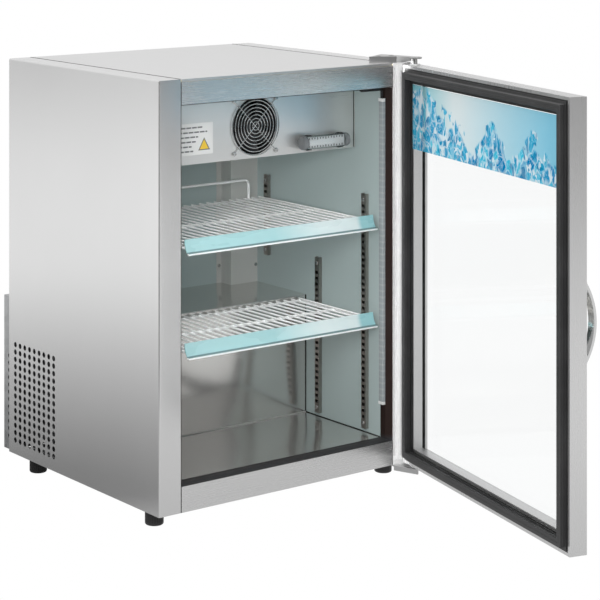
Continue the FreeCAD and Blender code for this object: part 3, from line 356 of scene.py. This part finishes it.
def led_material(name):
    """Milky light bar with a speckle from the diodes behind it."""
    s = Shader(name)
    place = s.place()
    dots = s.math("SINE", s.math("MULTIPLY", s.axis(place, 2), 2 * math.pi / DIODE_PITCH))
    speckle = s.noise(place, 420.0, 3.0, 0.7)
    tone = s.mix(s.range(dots, 0.2, 0.95, 0.0, 0.25), (0.34, 0.375, 0.385), (0.54, 0.575, 0.585))
    tone = s.mix(s.range(speckle, 0.5, 0.75, 0.0, 0.5), tone, (0.32, 0.37, 0.40))
    inputs = {"Base Color": tone, "Roughness": 0.22, "Coat Weight": 0.5}
    inputs["Normal"] = s.bump(speckle, 0.25, 0.0004)
    return s.finish(s.principled(inputs))


def foam_material(name):
    """Rigid foam: cream, with fine closed cells."""
    s = Shader(name)
    place = s.place()
    cells = s.add("ShaderNodeTexVoronoi", {"Vector": place, "Scale": 500.0}).outputs["Distance"]
    broad = s.noise(place, 12.0, 4.0)
    tone = s.mix(broad, (0.74, 0.66, 0.42), (0.86, 0.80, 0.60))
    inputs = {"Base Color": tone, "Roughness": 0.9, "Normal": s.bump(cells, 0.4, 0.0008)}
    return s.finish(s.principled(inputs))


def pale_sealant(name):
    """Clear bead whose colour carries painted light: painted shade at the left and a painted highlight at the
    right.
    """
    s = Shader(name)
    place = s.place()
    smeared = s.noise(s.scaled(place, (30.0, 200.0, 200.0)), 1.0, 3.0)
    # Painted light: dark at the left and pale at the right, for how the bead catches the light along the
    # hump.
    tone = s.mix(s.range(s.axis(place, 0), -0.18, 0.08, 0.0, 1.0), (0.03, 0.03, 0.03), (0.50, 0.51, 0.50))
    return s.finish(s.principled({"Base Color": tone, "Roughness": s.range(smeared, 0.3, 0.7, 0.35, 0.5)}))


def cap_plastic(name):
    """Smoky, half-clear plastic."""
    s = Shader(name)
    cloudy = s.noise(s.place(), 60.0, 3.0)
    through = s.add("ShaderNodeBsdfTransparent", {"Color": (0.75, 0.77, 0.78)}).outputs[0]
    tone = s.mix(cloudy, (0.20, 0.21, 0.22), (0.34, 0.35, 0.36))
    gloss = s.range(cloudy, 0.3, 0.7, 0.12, 0.22)
    face = s.principled({"Base Color": tone, "Roughness": gloss, "Coat Weight": 0.6})
    return s.finish(s.add("ShaderNodeMixShader", {0: 0.62, 1: through, 2: face}).outputs[0])


# The y, the lower end and the upper end of the pilasters on each side wall, behind which the liner gets
# painted shade.
PILASTERS = ((-0.203, 0.064, 0.543), (-0.0515, 0.064, 0.389), (0.125, 0.371, 0.542))


def liner_material(name, colour):
    """Glossy pre-painted sheet, with painted shade where the slotted pilasters cover it: the shadow seen
    through their slots is painted onto the wall behind them.
    """
    s = Shader(name)
    place = s.place()
    broad = s.noise(place, 4.0, 3.0, 0.55)
    dark = tuple(c * 0.95 for c in colour)
    wall = s.math("GREATER_THAN", s.math("ABSOLUTE", s.axis(place, 0)), 0.25)
    pilaster_shade = 0.0
    for y, low, high in PILASTERS:
        shade_strip = s.math("LESS_THAN", s.math("ABSOLUTE", s.math("SUBTRACT", s.axis(place, 1), y)), 0.0055)
        off = s.math("ABSOLUTE", s.math("SUBTRACT", s.axis(place, 2), (low + high) / 2))
        shade_strip = s.math("MULTIPLY", shade_strip, s.math("LESS_THAN", off, (high - low) / 2))
        pilaster_shade = s.math("MAXIMUM", shade_strip, pilaster_shade)
    # Painted shade: the side walls go near black behind each pilaster, for the shadow seen through its slots.
    tone = s.mix(s.math("MULTIPLY", wall, pilaster_shade), s.mix(broad, dark, colour), (0.02, 0.02, 0.02))
    inputs = {
        "Base Color": tone,
        "Roughness": s.range(broad, 0.3, 0.7, 0.28, 0.36),
        "Coat Weight": 0.3,
        "Coat Roughness": 0.1,
        "Normal": s.bump(s.noise(place, 900.0, 2.0), 0.06, 0.0003),
    }
    return s.finish(s.principled(inputs))


def jamb_material(name):
    """Dark red-brown plastic, dark grey along the sill."""
    s = Shader(name)
    place = s.place()
    fine = s.noise(place, 900.0, 3.0, 0.6)
    low = s.range(s.axis(place, 2), 0.052, 0.062, 0.0, 1.0)
    tone = s.mix(low, (0.040, 0.040, 0.042), (0.022, 0.012, 0.010))
    tone = s.mix(s.range(s.noise(place, 14.0, 4.0, 0.6), 0.5, 0.8, 0.0, 0.3), tone, (0.05, 0.04, 0.036))
    inputs = {"Base Color": tone, "Roughness": 0.5, "Specular IOR Level": 0.2}
    inputs["Normal"] = s.bump(fine, 0.15, 0.0003)
    return s.finish(s.principled(inputs))


STEEL = (0.74, 0.74, 0.74)
MAT = {
    "steel_v": brushed("steel_v", "z", STEEL, 0.2),
    "steel_h": brushed("steel_h", "x", STEEL, 0.27),
    "steel_top": brushed("steel_top", "y", (0.74, 0.74, 0.74), 0.33),
    "steel_cover": brushed("steel_cover", "x", (0.76, 0.76, 0.75), 0.3, metal=0.75),
    "steel_floor": brushed("steel_floor", "x", (0.70, 0.69, 0.67), 0.15, depth=0.02, wave=0.35),
    # The door's steel is the cabinet's steel set darker: painted shade that tones down the light its rim
    # catches.
    "steel_door": brushed("steel_door", "z", (0.68, 0.68, 0.68), 0.28, on_door=True),
    "steel_handle": brushed("steel_handle", "z", (0.62, 0.62, 0.62), 0.12, on_door=True, metal=1.0),
    "steel_hinge": brushed("steel_hinge", "y", (0.48, 0.48, 0.48), 0.3),
    "liner": liner_material("liner", (0.46, 0.55, 0.545)),
    "duct": painted("duct", (0.60, 0.61, 0.585), 0.36, coat=0.2),
    "galvanised": plated("galvanised", (0.62, 0.63, 0.64), 0.38, spangle=0.35),
    "zinc": plated("zinc", (0.72, 0.72, 0.71), 0.22),
    "fins": plated("fins", (0.75, 0.76, 0.77), 0.3),
    "copper": plated("copper", (0.80, 0.42, 0.27), 0.25),
    "pilaster": plated("pilaster", (0.46, 0.43, 0.40), 0.36, spangle=0.2),
    "jamb": jamb_material("jamb"),
    "rubber": moulded("rubber", (0.036, 0.036, 0.037), 0.5, grain=1500.0),
    "black_plastic": moulded("black_plastic", (0.02, 0.02, 0.021), 0.4),
    "door_plastic": moulded("door_plastic", (0.018, 0.018, 0.018), 0.45),
    "foot": moulded("foot", (0.02, 0.02, 0.02), 0.28),
    "white_plastic": moulded("white_plastic", (0.80, 0.81, 0.80), 0.32, depth=0.06),
    "black_paint": painted("black_paint", (0.012, 0.012, 0.013), 0.22, coat=0.6, fleck=0.2),
    "coated_wire": painted("coated_wire", (0.88, 0.89, 0.89), 0.26, coat=0.5, peel=0.05),
    "spacer": brushed("spacer", "z", (0.72, 0.72, 0.72), 0.38, on_door=True),
    "glass": clear_glass("glass", (0.997, 0.999, 0.999), shine=0.03),
    "tube_glass": clear_glass("tube_glass", (0.97, 0.98, 0.98), shine=0.8, haze=0.02),
    "cap_plastic": cap_plastic("cap_plastic"),
    # Near black: sealant beads, and painted shade in the outside seams and along the cover's edge.
    "sealant": moulded("sealant", (0.02, 0.02, 0.02), 0.8, shine=0.0),
    "pale_sealant": pale_sealant("pale_sealant"),
    "film": ice_film("film"),
    "led": led_material("led"),
    "foam": foam_material("foam"),
    "strip_upper": strip_material("strip_upper", "upper_label_strip"),
    "strip_lower": strip_material("strip_lower", "lower_label_strip"),
    "label": painted("label", (0.86, 0.86, 0.85), 0.4, peel=0.03, fleck=0.02),
    "ink": painted("ink", (0.16, 0.16, 0.17), 0.5),
    "amber": painted("amber", (0.90, 0.60, 0.05), 0.4),
    "scale": painted("scale", (0.92, 0.94, 0.95), 0.4),
}

LOOKS = {
    "steel_v": ("side_panel_left", "side_panel_right"),
    "steel_h": ("front_header", "bottom_rail"),
    "steel_top": ("top_panel",),
    "steel_cover": ("evaporator_cover",),
    "steel_floor": ("liner_floor", "hump_cover"),
    "steel_door": ("door_frame",),
    "steel_handle": ("door_handle",),
    "steel_hinge": ("top_hinge_bracket", "bottom_hinge_bracket"),
    "liner": ("liner_shell",),
    "duct": ("rear_duct_cover",),
    "galvanised": ("back_panel", "base_pan", "bay_liner", "rear_housing", "drip_pan"),
    "zinc": ("panel_screws", "hinge_pins", "handle_screws", "fan_guard", "shelf_clips"),
    "fins": ("condenser_coil", "evaporator_coil"),
    "copper": ("suction_tube", "discharge_tube", "filter_drier"),
    "pilaster": ("shelf_pilasters",),
    "jamb": ("breaker_frame",),
    "rubber": ("compressor_grommets",),
    "black_plastic": ("evaporator_fan_frame", "condenser_fan_frame", "electrical_box", "power_cord",
                      "thermostat_knob", "led_cable"),
    "door_plastic": ("door_inner_frame",),
    "foot": ("foot_left_front", "foot_left_rear", "foot_right_front", "foot_right_rear"),
    "white_plastic": ("hinge_bushes",),
    "black_paint": ("compressor",),
    "coated_wire": ("upper_shelf", "lower_shelf"),
    "spacer": ("glass_spacer",),
    "glass": ("outer_glass", "inner_glass"),
    "film": ("door_graphic",),
    "led": ("led_strip",),
    "foam": ("foam_insulation",),
    "strip_upper": ("upper_label_strip",),
    "strip_lower": ("lower_label_strip",),
}

for look, names in LOOKS.items():
    for node in names:
        mesh = NODES[node].data
        mesh.materials.clear()
        mesh.materials.append(MAT[look])


# Mesh helpers ---------------------------------------------------------------------------------------------


def piece(name, verts, faces, look, body, slot, on_door=False, sharp=35.0):
    """A mesh object riding on a body. Door pieces are given as if the door were shut."""
    mesh = bpy.data.meshes.new(name)
    mesh.from_pydata([tuple(v) for v in verts], [], faces)
    if on_door:
        mesh.transform(TO_OPEN)
    tidy = bmesh.new()
    tidy.from_mesh(mesh)
    bmesh.ops.recalc_face_normals(tidy, faces=tidy.faces)
    tidy.to_mesh(mesh)
    tidy.free()
    mesh.materials.append(MAT[look])
    mesh.shade_smooth()
    mesh.set_sharp_from_angle(angle=math.radians(sharp))
    obj = bpy.data.objects.new(name, mesh)
    bpy.context.scene.collection.objects.link(obj)
    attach(obj, body)
    return obj


def joined(parts):
    """One list of vertices and faces from several."""
    verts = []
    faces = []
    for some_verts, some_faces in parts:
        start = len(verts)
        verts += some_verts
        faces += [tuple(start + i for i in face) for face in some_faces]
    return verts, faces


def frame_ring(half, z0, z1, profile):
    """A closed section swept round a rectangle with mitred corners. The profile gives (inset, y) pairs."""
    verts = []
    faces = []
    count = len(profile)
    for inset, y in profile:
        x = half - inset
        low = z0 + inset
        high = z1 - inset
        verts += [Vector((-x, y, low)), Vector((x, y, low)), Vector((x, y, high)), Vector((-x, y, high))]
    for i in range(count):
        following = (i + 1) % count
        for corner in range(4):
            turn = (corner + 1) % 4
            faces.append((4 * i + corner, 4 * i + turn, 4 * following + turn, 4 * following + corner))
    return verts, faces


def arc(cx, cy, radius, start, end, steps):
    """Points (x, y) on an arc, angles in degrees."""
    points = []
    for i in range(steps + 1):
        angle = math.radians(start + (end - start) * i / steps)
        points.append((cx + radius * math.cos(angle), cy + radius * math.sin(angle)))
    return points


TURN_STEPS = 48


def lathe(profile, place, ahead):
    """A closed body turned about an axis at place that points ahead. The profile gives (radius, height) pairs
    and starts and ends on the axis."""
    steps = TURN_STEPS
    turn = Vector((0, 0, 1)).rotation_difference(Vector(ahead)).to_matrix()
    place = Vector(place)
    inner = profile[1:-1]
    verts = [place + turn @ Vector((0, 0, profile[0][1]))]
    for radius, height in inner:
        for i in range(steps):
            angle = 2 * math.pi * i / steps
            verts.append(place + turn @ Vector((radius * math.cos(angle), radius * math.sin(angle), height)))
    verts.append(place + turn @ Vector((0, 0, profile[-1][1])))
    faces = []
    last = len(verts) - 1
    for i in range(steps):
        following = (i + 1) % steps
        faces.append((0, 1 + following, 1 + i))
        for ring in range(len(inner) - 1):
            a = 1 + ring * steps
            b = a + steps
            faces.append((a + i, a + following, b + following, b + i))
        a = 1 + (len(inner) - 1) * steps
        faces.append((a + i, a + following, last))
    return verts, faces


def slab(low, high, bevel=0.0):
    """A block with chamfered edges between two corners."""
    made = bmesh.new()
    bmesh.ops.create_cube(made, size=1.0)
    size = Vector(high) - Vector(low)
    middle = (Vector(high) + Vector(low)) / 2
    for v in made.verts:
        v.co = Vector((v.co.x * size.x, v.co.y * size.y, v.co.z * size.z)) + middle
    if bevel:
        bmesh.ops.bevel(made, geom=made.edges[:], offset=bevel, segments=2, affect="EDGES", profile=0.5)
    verts = [v.co.copy() for v in made.verts]
    faces = [tuple(v.index for v in f.verts) for f in made.faces]
    made.free()
    return verts, faces


# Door seal ------------------------------------------------------------------------------------------------


SEAL_W = 0.020


def door_seal():
    """Magnetic seal: a foot in its groove, a folded bellows and a flat-faced bulb, mitred at the corners."""
    low, high = shut_box("door_gasket")
    base = low.y
    face = high.y
    profile = [(0.0, base), (0.0, base + 0.0022), (0.0044, base + 0.0024), (0.0054, base + 0.0040)]
    profile += [(0.0044, base + 0.0052), (0.0052, base + 0.0064)]
    profile += arc(0.0064, face - 0.0014, 0.0014, 180, 90, 6)
    profile += [(0.0110, face), (0.0115, face - 0.0005), (0.0120, face)]
    profile += arc(SEAL_W - 0.0030, face - 0.0018, 0.0018, 90, 0, 6)
    profile += [(SEAL_W - 0.0024, base + 0.0062), (SEAL_W - 0.0010, base + 0.0050)]
    profile += [(SEAL_W - 0.0030, base + 0.0040), (SEAL_W - 0.0030, base + 0.0032), (SEAL_W, base + 0.0026)]
    profile += [(SEAL_W, base)]
    ring = frame_ring(high.x, low.z, high.z, profile)
    seal = piece("door_seal", *ring, "rubber", "door", "seal_rubber", on_door=True, sharp=28)
    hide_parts("door_gasket")


# Fans -----------------------------------------------------------------------------------------------------


SPANS = 8
CHORDS = 8
CHORD = 0.026
CAMBER = 0.003
BLADE_T = 0.0022
ROOT_PITCH = 42
TIP_PITCH = 24
SWEEP = 0.35
HUB_L = 0.016
SHAFT_R = 0.003


def blade_point(share, along, side, hub_r, tip_r, turn):
    """A point on a blade. Share runs from 0 at the root to 1 at the tip, along from -0.5 to 0.5 over the
    chord, and side is 1 or -1."""
    radius = hub_r + (tip_r - hub_r) * share
    pitch = math.radians(ROOT_PITCH + (TIP_PITCH - ROOT_PITCH) * share)
    width = CHORD * (0.72 + 0.5 * math.sin(math.pi * (0.15 + 0.6 * share)))
    crown = 1 - (2 * along) ** 2
    rise = CAMBER * crown + BLADE_T * math.sqrt(max(0.0, crown)) * side / 2
    across = along * width * math.cos(pitch) - rise * math.sin(pitch)
    height = along * width * math.sin(pitch) + rise * math.cos(pitch)
    angle = turn + SWEEP * share * share + across / radius
    return Vector((radius * math.cos(angle), radius * math.sin(angle), height))


def blade(hub_r, tip_r, turn):
    """One cambered, twisted fan blade about +z as a closed mesh."""
    verts = []
    for side in (1, -1):
        for i in range(SPANS + 1):
            for j in range(CHORDS + 1):
                verts.append(blade_point(i / SPANS, j / CHORDS - 0.5, side, hub_r, tip_r, turn))
    stride = CHORDS + 1
    layer = (SPANS + 1) * stride
    faces = []
    for i in range(SPANS):
        for j in range(CHORDS):
            a = i * stride + j
            faces.append((a, a + 1, a + stride + 1, a + stride))
            b = layer + a
            faces.append((b, b + stride, b + stride + 1, b + 1))
    for i in range(SPANS):
        for j in (0, CHORDS):
            a = i * stride + j
            faces.append((a, a + stride, layer + a + stride, layer + a))
    for j in range(CHORDS):
        for i in (0, SPANS):
            a = i * stride + j
            faces.append((a, a + 1, layer + a + 1, layer + a))
    return verts, faces


def fan_rotor(name, node, joint, ahead, hub_r, count):
    """Rotor with a domed hub and twisted blades about its joint's axis, inside its CAD box."""
    low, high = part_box(node)
    spin = next(j for j in frame["joints"] if j["name"] == joint)
    axis = [abs(c) for c in ahead].index(1)
    tip_r = max((high[i] - low[i]) / 2 for i in range(3) if i != axis)
    length = high[axis] - low[axis]
    at = Vector(spin["pos_m"])
    at[axis] = high[axis] if ahead[axis] > 0 else low[axis]
    dome = arc(hub_r - 0.004, -0.004, 0.004, 0, 90, 6)
    profile = [(0, -length), (SHAFT_R, -length), (SHAFT_R, -HUB_L), (hub_r, -HUB_L)]
    profile += dome + [(hub_r * 0.45, 0.0), (hub_r * 0.42, -0.0012), (0, -0.0012)]
    turn = Vector((0, 0, 1)).rotation_difference(Vector(ahead)).to_matrix()
    parts = [lathe(profile, at, ahead)]
    for i in range(count):
        verts, faces = blade(hub_r - 0.0015, tip_r, 2 * math.pi * i / count)
        parts.append(([at + turn @ (v + Vector((0, 0, -HUB_L / 2))) for v in verts], faces))
    rotor = piece(name, *joined(parts), "black_plastic", spin["child"], "black_plastic", sharp=40)
    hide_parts(node)


# Things on the evaporator cover ---------------------------------------------------------------------------


NOTICE_LINES = (0.058, 0.068, 0.046, 0.040, 0.030, 0.034)
LINE_H = 0.0028
LINE_PITCH = 0.0092
WORD_GAP = 0.002
SIGN_R = 0.0165
SIGN_FACE_R = 0.0125
INK_T = 0.00006


def notice_line(left, top, length, face, row):
    """One line of a notice as a row of plain bars of uneven length."""
    bars = []
    start = left
    while start < left + length:
        word = 0.0075 + 0.004 * ((row * 7 + int(start * 2000)) % 3)
        end = min(start + word, left + length)
        bars.append(slab((start, face - INK_T, top - LINE_H), (end, face, top)))
        start = end + WORD_GAP
    return bars


def triangle(centre, radius, face, depth):
    """A thin upright triangle that stands on one side, its corners a radius away from its centre."""
    angles = (math.pi / 2, math.pi * 7 / 6, math.pi * 11 / 6)
    points = [(centre[0] + radius * math.cos(a), centre[1] + radius * math.sin(a)) for a in angles]
    verts = [Vector((x, face - depth, z)) for x, z in points] + [Vector((x, face, z)) for x, z in points]
    return verts, [(0, 1, 2), (3, 5, 4), (0, 3, 4, 1), (1, 4, 5, 2), (2, 5, 3, 0)]


def cover_label():
    """Plain notice: a white card with grey bars for lines and a plain amber triangle."""
    low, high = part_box("info_label")
    face = low.y
    card = piece("notice_card", *slab(low, high, 0.0001), "label", "cabinet", "white_plastic")
    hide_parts("info_label")
    bars = []
    for row, length in enumerate(NOTICE_LINES):
        bars += notice_line(low.x + 0.006, high.z - 0.007 - row * LINE_PITCH, length, face, row)
    piece("notice_bars", *joined(bars), "ink", "cabinet", "black_plastic")
    centre = (high.x - 0.0215, low.z + 0.0165)
    edge = triangle(centre, SIGN_R, face, INK_T)
    piece("notice_triangle_edge", *edge, "ink", "cabinet", "black_plastic")
    middle = triangle(centre, SIGN_FACE_R, face, 2 * INK_T)
    piece("notice_triangle", *middle, "amber", "cabinet", "white_plastic")


TUBE_R = 0.0142
CAP_L = 0.012
SCALE_H = 0.0224
TICK_W = 0.0022
CLIP_T = 0.0015
CLIP_W = 0.009


def thermometer_cap(end, y, z, way):
    """End cap whose closed end is at x = end and whose open end points the given way along x."""
    profile = [(0, 0), (TUBE_R - 0.004, 0), (TUBE_R - 0.0016, 0.0012), (TUBE_R - 0.0002, 0.0038)]
    profile += [(TUBE_R, CAP_L - 0.0008), (TUBE_R - 0.0004, CAP_L), (0, CAP_L)]
    return lathe(profile, (end, y, z), (way, 0, 0))


def thermometer_ticks(start, end, y, z):
    """Plain ticks along the upper and the lower edge of the scale."""
    ticks = []
    count = 12
    inset = SCALE_H / 2 - 0.001
    for i in range(count + 1):
        x = start + (end - start) * i / count
        size = 0.0044 if i % 3 == 0 else 0.0034
        for edge in (-1, 1):
            a = z + edge * inset
            b = z + edge * (inset - size)
            corner = (x - TICK_W / 2, y - 0.0054, min(a, b))
            ticks.append(slab(corner, (x + TICK_W / 2, y - 0.0052, max(a, b))))
    return ticks


def thermometer_clip(x, y, z, back):
    """Spring clip, open to the front, with a short block between it and the cover at y = back."""
    section = arc(0, 0, TUBE_R, 22, -202, 24) + arc(0, 0, TUBE_R + CLIP_T, -202, 22, 24)
    verts = [Vector((x + offset, y - q, z + p)) for offset in (0, CLIP_W) for p, q in section]
    n = len(section)
    faces = [(i, (i + 1) % n, n + (i + 1) % n, n + i) for i in range(n)]
    for i in range(n // 2 - 1):
        a, b, c, d = i, i + 1, n - 2 - i, n - 1 - i
        faces.append((a, d, c, b))
        faces.append((n + a, n + b, n + c, n + d))
    block = slab((x + 0.001, y + 0.0135, z - 0.007), (x + CLIP_W - 0.001, back, z + 0.007), 0.0006)
    return [(verts, faces), block]


def thermometer():
    """Clear tube with smoky end caps and a white scale, in two spring clips that grip it from behind."""
    low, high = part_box("thermometer")
    z = (low.z + high.z) / 2
    y = low.y + 0.0145
    overlap = CAP_L * 0.2
    start = low.x + CAP_L - overlap
    run = high.x - low.x - 2 * (CAP_L - overlap)
    wall_r = TUBE_R - 0.0006
    tube = [(0, 0), (wall_r - 0.0006, 0), (wall_r, 0.0006), (wall_r, run - 0.0006)]
    tube += [(wall_r - 0.0006, run), (0, run)]
    tube = lathe(tube, (start, y, z), (1, 0, 0))
    glass = piece("thermometer_tube", *tube, "tube_glass", "cabinet", "glass")
    caps = [thermometer_cap(low.x, y, z, 1), thermometer_cap(high.x, y, z, -1)]
    piece("thermometer_caps", *joined(caps), "cap_plastic", "cabinet", "black_plastic")
    left = low.x + CAP_L
    right = high.x - CAP_L
    half = SCALE_H / 2
    card = slab((left, y - 0.0052, z - half), (right, y - 0.0044, z + half), 0.0001)
    piece("thermometer_scale", *card, "scale", "cabinet", "white_plastic")
    ticks = thermometer_ticks(left + 0.006, right - 0.006, y, z)
    piece("thermometer_ticks", *joined(ticks), "ink", "cabinet", "black_plastic")
    clips = thermometer_clip(low.x + 0.015, y, z, high.y)
    clips += thermometer_clip(high.x - 0.024, y, z, high.y)
    piece("thermometer_clips", *joined(clips), "black_plastic", "cabinet", "black_plastic")
    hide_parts("thermometer")


def led_ends():
    """White end caps on the light bar."""
    low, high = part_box("led_strip")
    parts = []
    for z0, z1 in ((high.z - 0.007, high.z - 0.0002), (low.z - 0.0002, low.z + 0.006)):
        start = (low.x - 0.0006, low.y - 0.0006, z0)
        end = (high.x - 0.0002, high.y + 0.0006, z1)
        parts.append(slab(start, end, 0.0009))
    piece("led_end_caps", *joined(parts), "white_plastic", "cabinet", "white_plastic")


SEAM_W = 0.0019
PROUD = 0.0003
BEAD = 0.0016


def panel_gap_shade():
    """Painted shade: dark strips in the seams between the side panels and the top panel, the front header and
    the bottom rail, standing in for the shadow in the gaps.
    """
    top_low, top_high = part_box("top_panel")
    half = SEAM_W / 2
    gap_shades = []
    for side in (-1, 1):
        edge = side * (top_high.x + half)
        gap_shades.append(slab((edge - half, top_low.y + 0.003, top_high.z - 0.0008),
                          (edge + half, top_high.y - 0.002, top_high.z + PROUD)))
        for node in ("front_header", "bottom_rail"):
            low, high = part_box(node)
            gap_shades.append(slab((edge - half, low.y + PROUD, low.z), (edge + half, low.y + 0.0009, high.z)))
    return gap_shades


def cover_edge_shadow():
    """Painted shadow: a dark strip down the evaporator cover, close to its right edge, standing in for the
    shade of the cover's folded edge.
    """
    low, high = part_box("evaporator_cover")
    return slab((high.x - 0.0045, low.y - PROUD, low.z + 0.001),
                (high.x - 0.0025, low.y + 0.0002, high.z - 0.001))


def sealant():
    """Dark strips of painted shade in the seams of the cabinet's outside and along the evaporator cover's
    edge, and sealant beads in the inside corners: the dark ones partly stand in for the shade in those
    corners, and the pale one's tone is painted light.
    """
    floor_low, floor_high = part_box("liner_floor")
    hump_low, hump_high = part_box("hump_cover")
    y = hump_low.y
    z = floor_high.z
    wall = hump_high.x - 0.00005
    x = hump_high.x - BEAD
    # Painted shade: the outside seams and the cover's edge strip; the dark beads below are sealant, kept near
    # black partly as painted shade of the corner.
    dark = panel_gap_shade()
    dark.append(cover_edge_shadow())
    dark.append(slab((x, floor_low.y, z), (wall, y, z + BEAD), 0.0005))
    dark.append(slab((x, y - BEAD, z), (wall, y, hump_high.z), 0.0005))
    piece("dark_beads_and_painted_shade", *joined(dark), "sealant", "cabinet", "black_plastic")
    pale = slab((hump_low.x, y - BEAD, z), (x, y, z + BEAD), 0.0005)
    piece("pale_sealant", *pale, "pale_sealant", "cabinet", "white_plastic")


door_seal()
sealant()
fan_rotor("evaporator_rotor", "evaporator_fan_blade", "evaporator_fan_spin", (0, -1, 0), 0.020, 7)
fan_rotor("condenser_rotor", "condenser_fan_blade", "condenser_fan_spin", (-1, 0, 0), 0.018, 5)
cover_label()
thermometer()
led_ends()


# Studio ---------------------------------------------------------------------------------------------------

# Ground directions from the cabinet. The side reflects the left back, the front reflects its opposite, and
# the rounded edge between them reflects a dark card at the left front.
LEFT_BACK = (-0.59, 0.81, 0.0)
LEFT_FRONT = (-0.81, -0.59, 0.0)


def floor():
    """Ground plane: white to the camera; in reflections it is dark close by and bright further off."""
    size = 14.0
    mesh = bpy.data.meshes.new("floor")
    z = CAD_BOX[0][2]
    corners = [(-size, -size, z), (size, -size, z), (size, size, z), (-size, size, z)]
    mesh.from_pydata(corners, [], [(0, 1, 2, 3)])
    s = Shader("floor")
    place = s.place()
    away = s.add("ShaderNodeVectorMath", {0: place}, operation="LENGTH").outputs["Value"]
    behind = s.range(s.along(place, LEFT_BACK), -0.1, 0.2, 0.0, 1.0)
    back = s.range(away, 0.45, 2.4, 0.2, 1.0)
    back = s.math("MULTIPLY", back, s.range(away, 5.0, 9.0, 1.0, 0.6))
    front = s.math("MULTIPLY", s.range(away, 0.4, 2.0, 0.65, 1.0), s.range(away, 4.5, 6.0, 0.95, 0.25))
    level = s.math("ADD", s.math("MULTIPLY", back, behind),
                   s.math("MULTIPLY", front, s.math("SUBTRACT", 1.0, behind)))
    way = s.add("ShaderNodeVectorMath", {0: place}, operation="NORMALIZE").outputs[0]
    card = s.range(s.along(way, LEFT_FRONT), 0.6, 0.85, 0.0, 0.85)
    card = s.math("MULTIPLY", card, s.range(away, 1.1, 1.7, 0.0, 1.0))
    level = s.math("MULTIPLY", level, s.math("SUBTRACT", 1.0, card))
    inputs = {"Color": (1, 1, 1), "Strength": s.white_to_camera(level)}
    glow = s.add("ShaderNodeEmission", inputs).outputs[0]
    mesh.materials.append(s.finish(glow))
    obj = bpy.data.objects.new("floor", mesh)
    bpy.context.scene.collection.objects.link(obj)


def softbox(name, place, target, size, power, spread=180.0, only=None):
    """A rectangular lamp. With nodes' names in only, it lights those nodes alone."""
    data = bpy.data.lights.new(name, "AREA")
    data.shape = "RECTANGLE"
    data.size = size[0]
    data.size_y = size[1]
    data.energy = power
    data.spread = math.radians(spread)
    obj = bpy.data.objects.new(name, data)
    obj.location = place
    obj.rotation_euler = (Vector(target) - Vector(place)).to_track_quat("-Z", "Y").to_euler()
    bpy.context.scene.collection.objects.link(obj)
    if only:
        lit = bpy.data.collections.new(name + "_lit")
        for node in only:
            lit.objects.link(NODES[node])
        obj.light_linking.receiver_collection = lit
    return obj


def studio_world():
    """Surroundings: white to the camera. In reflections they are bright at the left and the back, and dark
    above the horizon at the right front."""
    s = Shader("studio", bpy.data.worlds.new("studio"))
    way = s.add("ShaderNodeTexCoord").outputs["Generated"]
    height = s.axis(way, 2)
    side = s.range(s.along(way, LEFT_BACK), -0.6, 0.2, 0.28, 0.80)
    level = s.math("ADD", side, s.range(height, 0.25, 0.9, 0.0, 0.25))
    level = s.math("MULTIPLY", level, s.range(s.along(way, LEFT_FRONT), 0.7, 0.9, 1.0, 0.3))
    inputs = {"Color": (1, 1, 1), "Strength": s.white_to_camera(level)}
    sky = s.add("ShaderNodeBackground", inputs).outputs[0]
    bpy.context.scene.world = s.finish(sky)


def camera():
    """A level camera that looks 36 degrees to the right of square on, with its frame shifted down and right.
    The shift is a shear of the camera's own axes, so that it stays with this view alone."""
    yaw = math.radians(36.26)
    place = Vector((-2.5411, -3.4691, 1.2330))
    focal = 3.4685
    shift_right = 0.15
    shift_down = 0.73463
    level = Matrix.Translation(place) @ Matrix.Rotation(-yaw, 4, "Z") @ Matrix.Rotation(math.pi / 2, 4, "X")
    shear = Matrix.Identity(4)
    shear[0][2] = -shift_right / focal
    shear[1][2] = shift_down / focal
    stretch = math.sqrt(1 + shear[0][2] ** 2 + shear[1][2] ** 2)
    data = bpy.data.cameras.new("camera")
    data.sensor_width = 36.0
    data.lens = 36.0 * focal * stretch
    data.clip_end = 100
    obj = bpy.data.objects.new("camera", data)
    bpy.context.scene.collection.objects.link(obj)
    hold = bpy.data.objects.new("camera_hold", None)
    bpy.context.scene.collection.objects.link(hold)
    obj.parent = hold
    obj.matrix_parent_inverse = level @ shear @ level.inverted()
    obj.matrix_basis = level
    bpy.context.scene.camera = obj


floor()
softbox("overhead", (-0.3, -0.6, 3.2), (0, -0.2, 0), (3.0, 3.0), 22)
softbox("left", (-3.4, -0.6, 2.2), (0, 0, 0.4), (2.4, 2.0), 30)
softbox("front", (-0.6, -4.0, 2.4), (0, 0, 0.4), (2.6, 1.6), 18)
fill = softbox("inside_fill", (-0.9, -1.1, 0.75), (0.24, -0.02, 0.38), (0.5, 0.5), 1.4, spread=60)
fill.visible_glossy = False
softbox("right_stile", (-1.6, -2.8, 0.5), (0.29, -0.27, 0.42), (0.6, 0.8), 540, only=("side_panel_right",))
softbox("shelves", (-0.5, -1.8, 1.5), (0, -0.05, 0.42), (0.6, 0.6), 24, only=("upper_shelf", "lower_shelf"))
studio_world()
camera()
bpy.context.scene.view_settings.view_transform = "Standard"
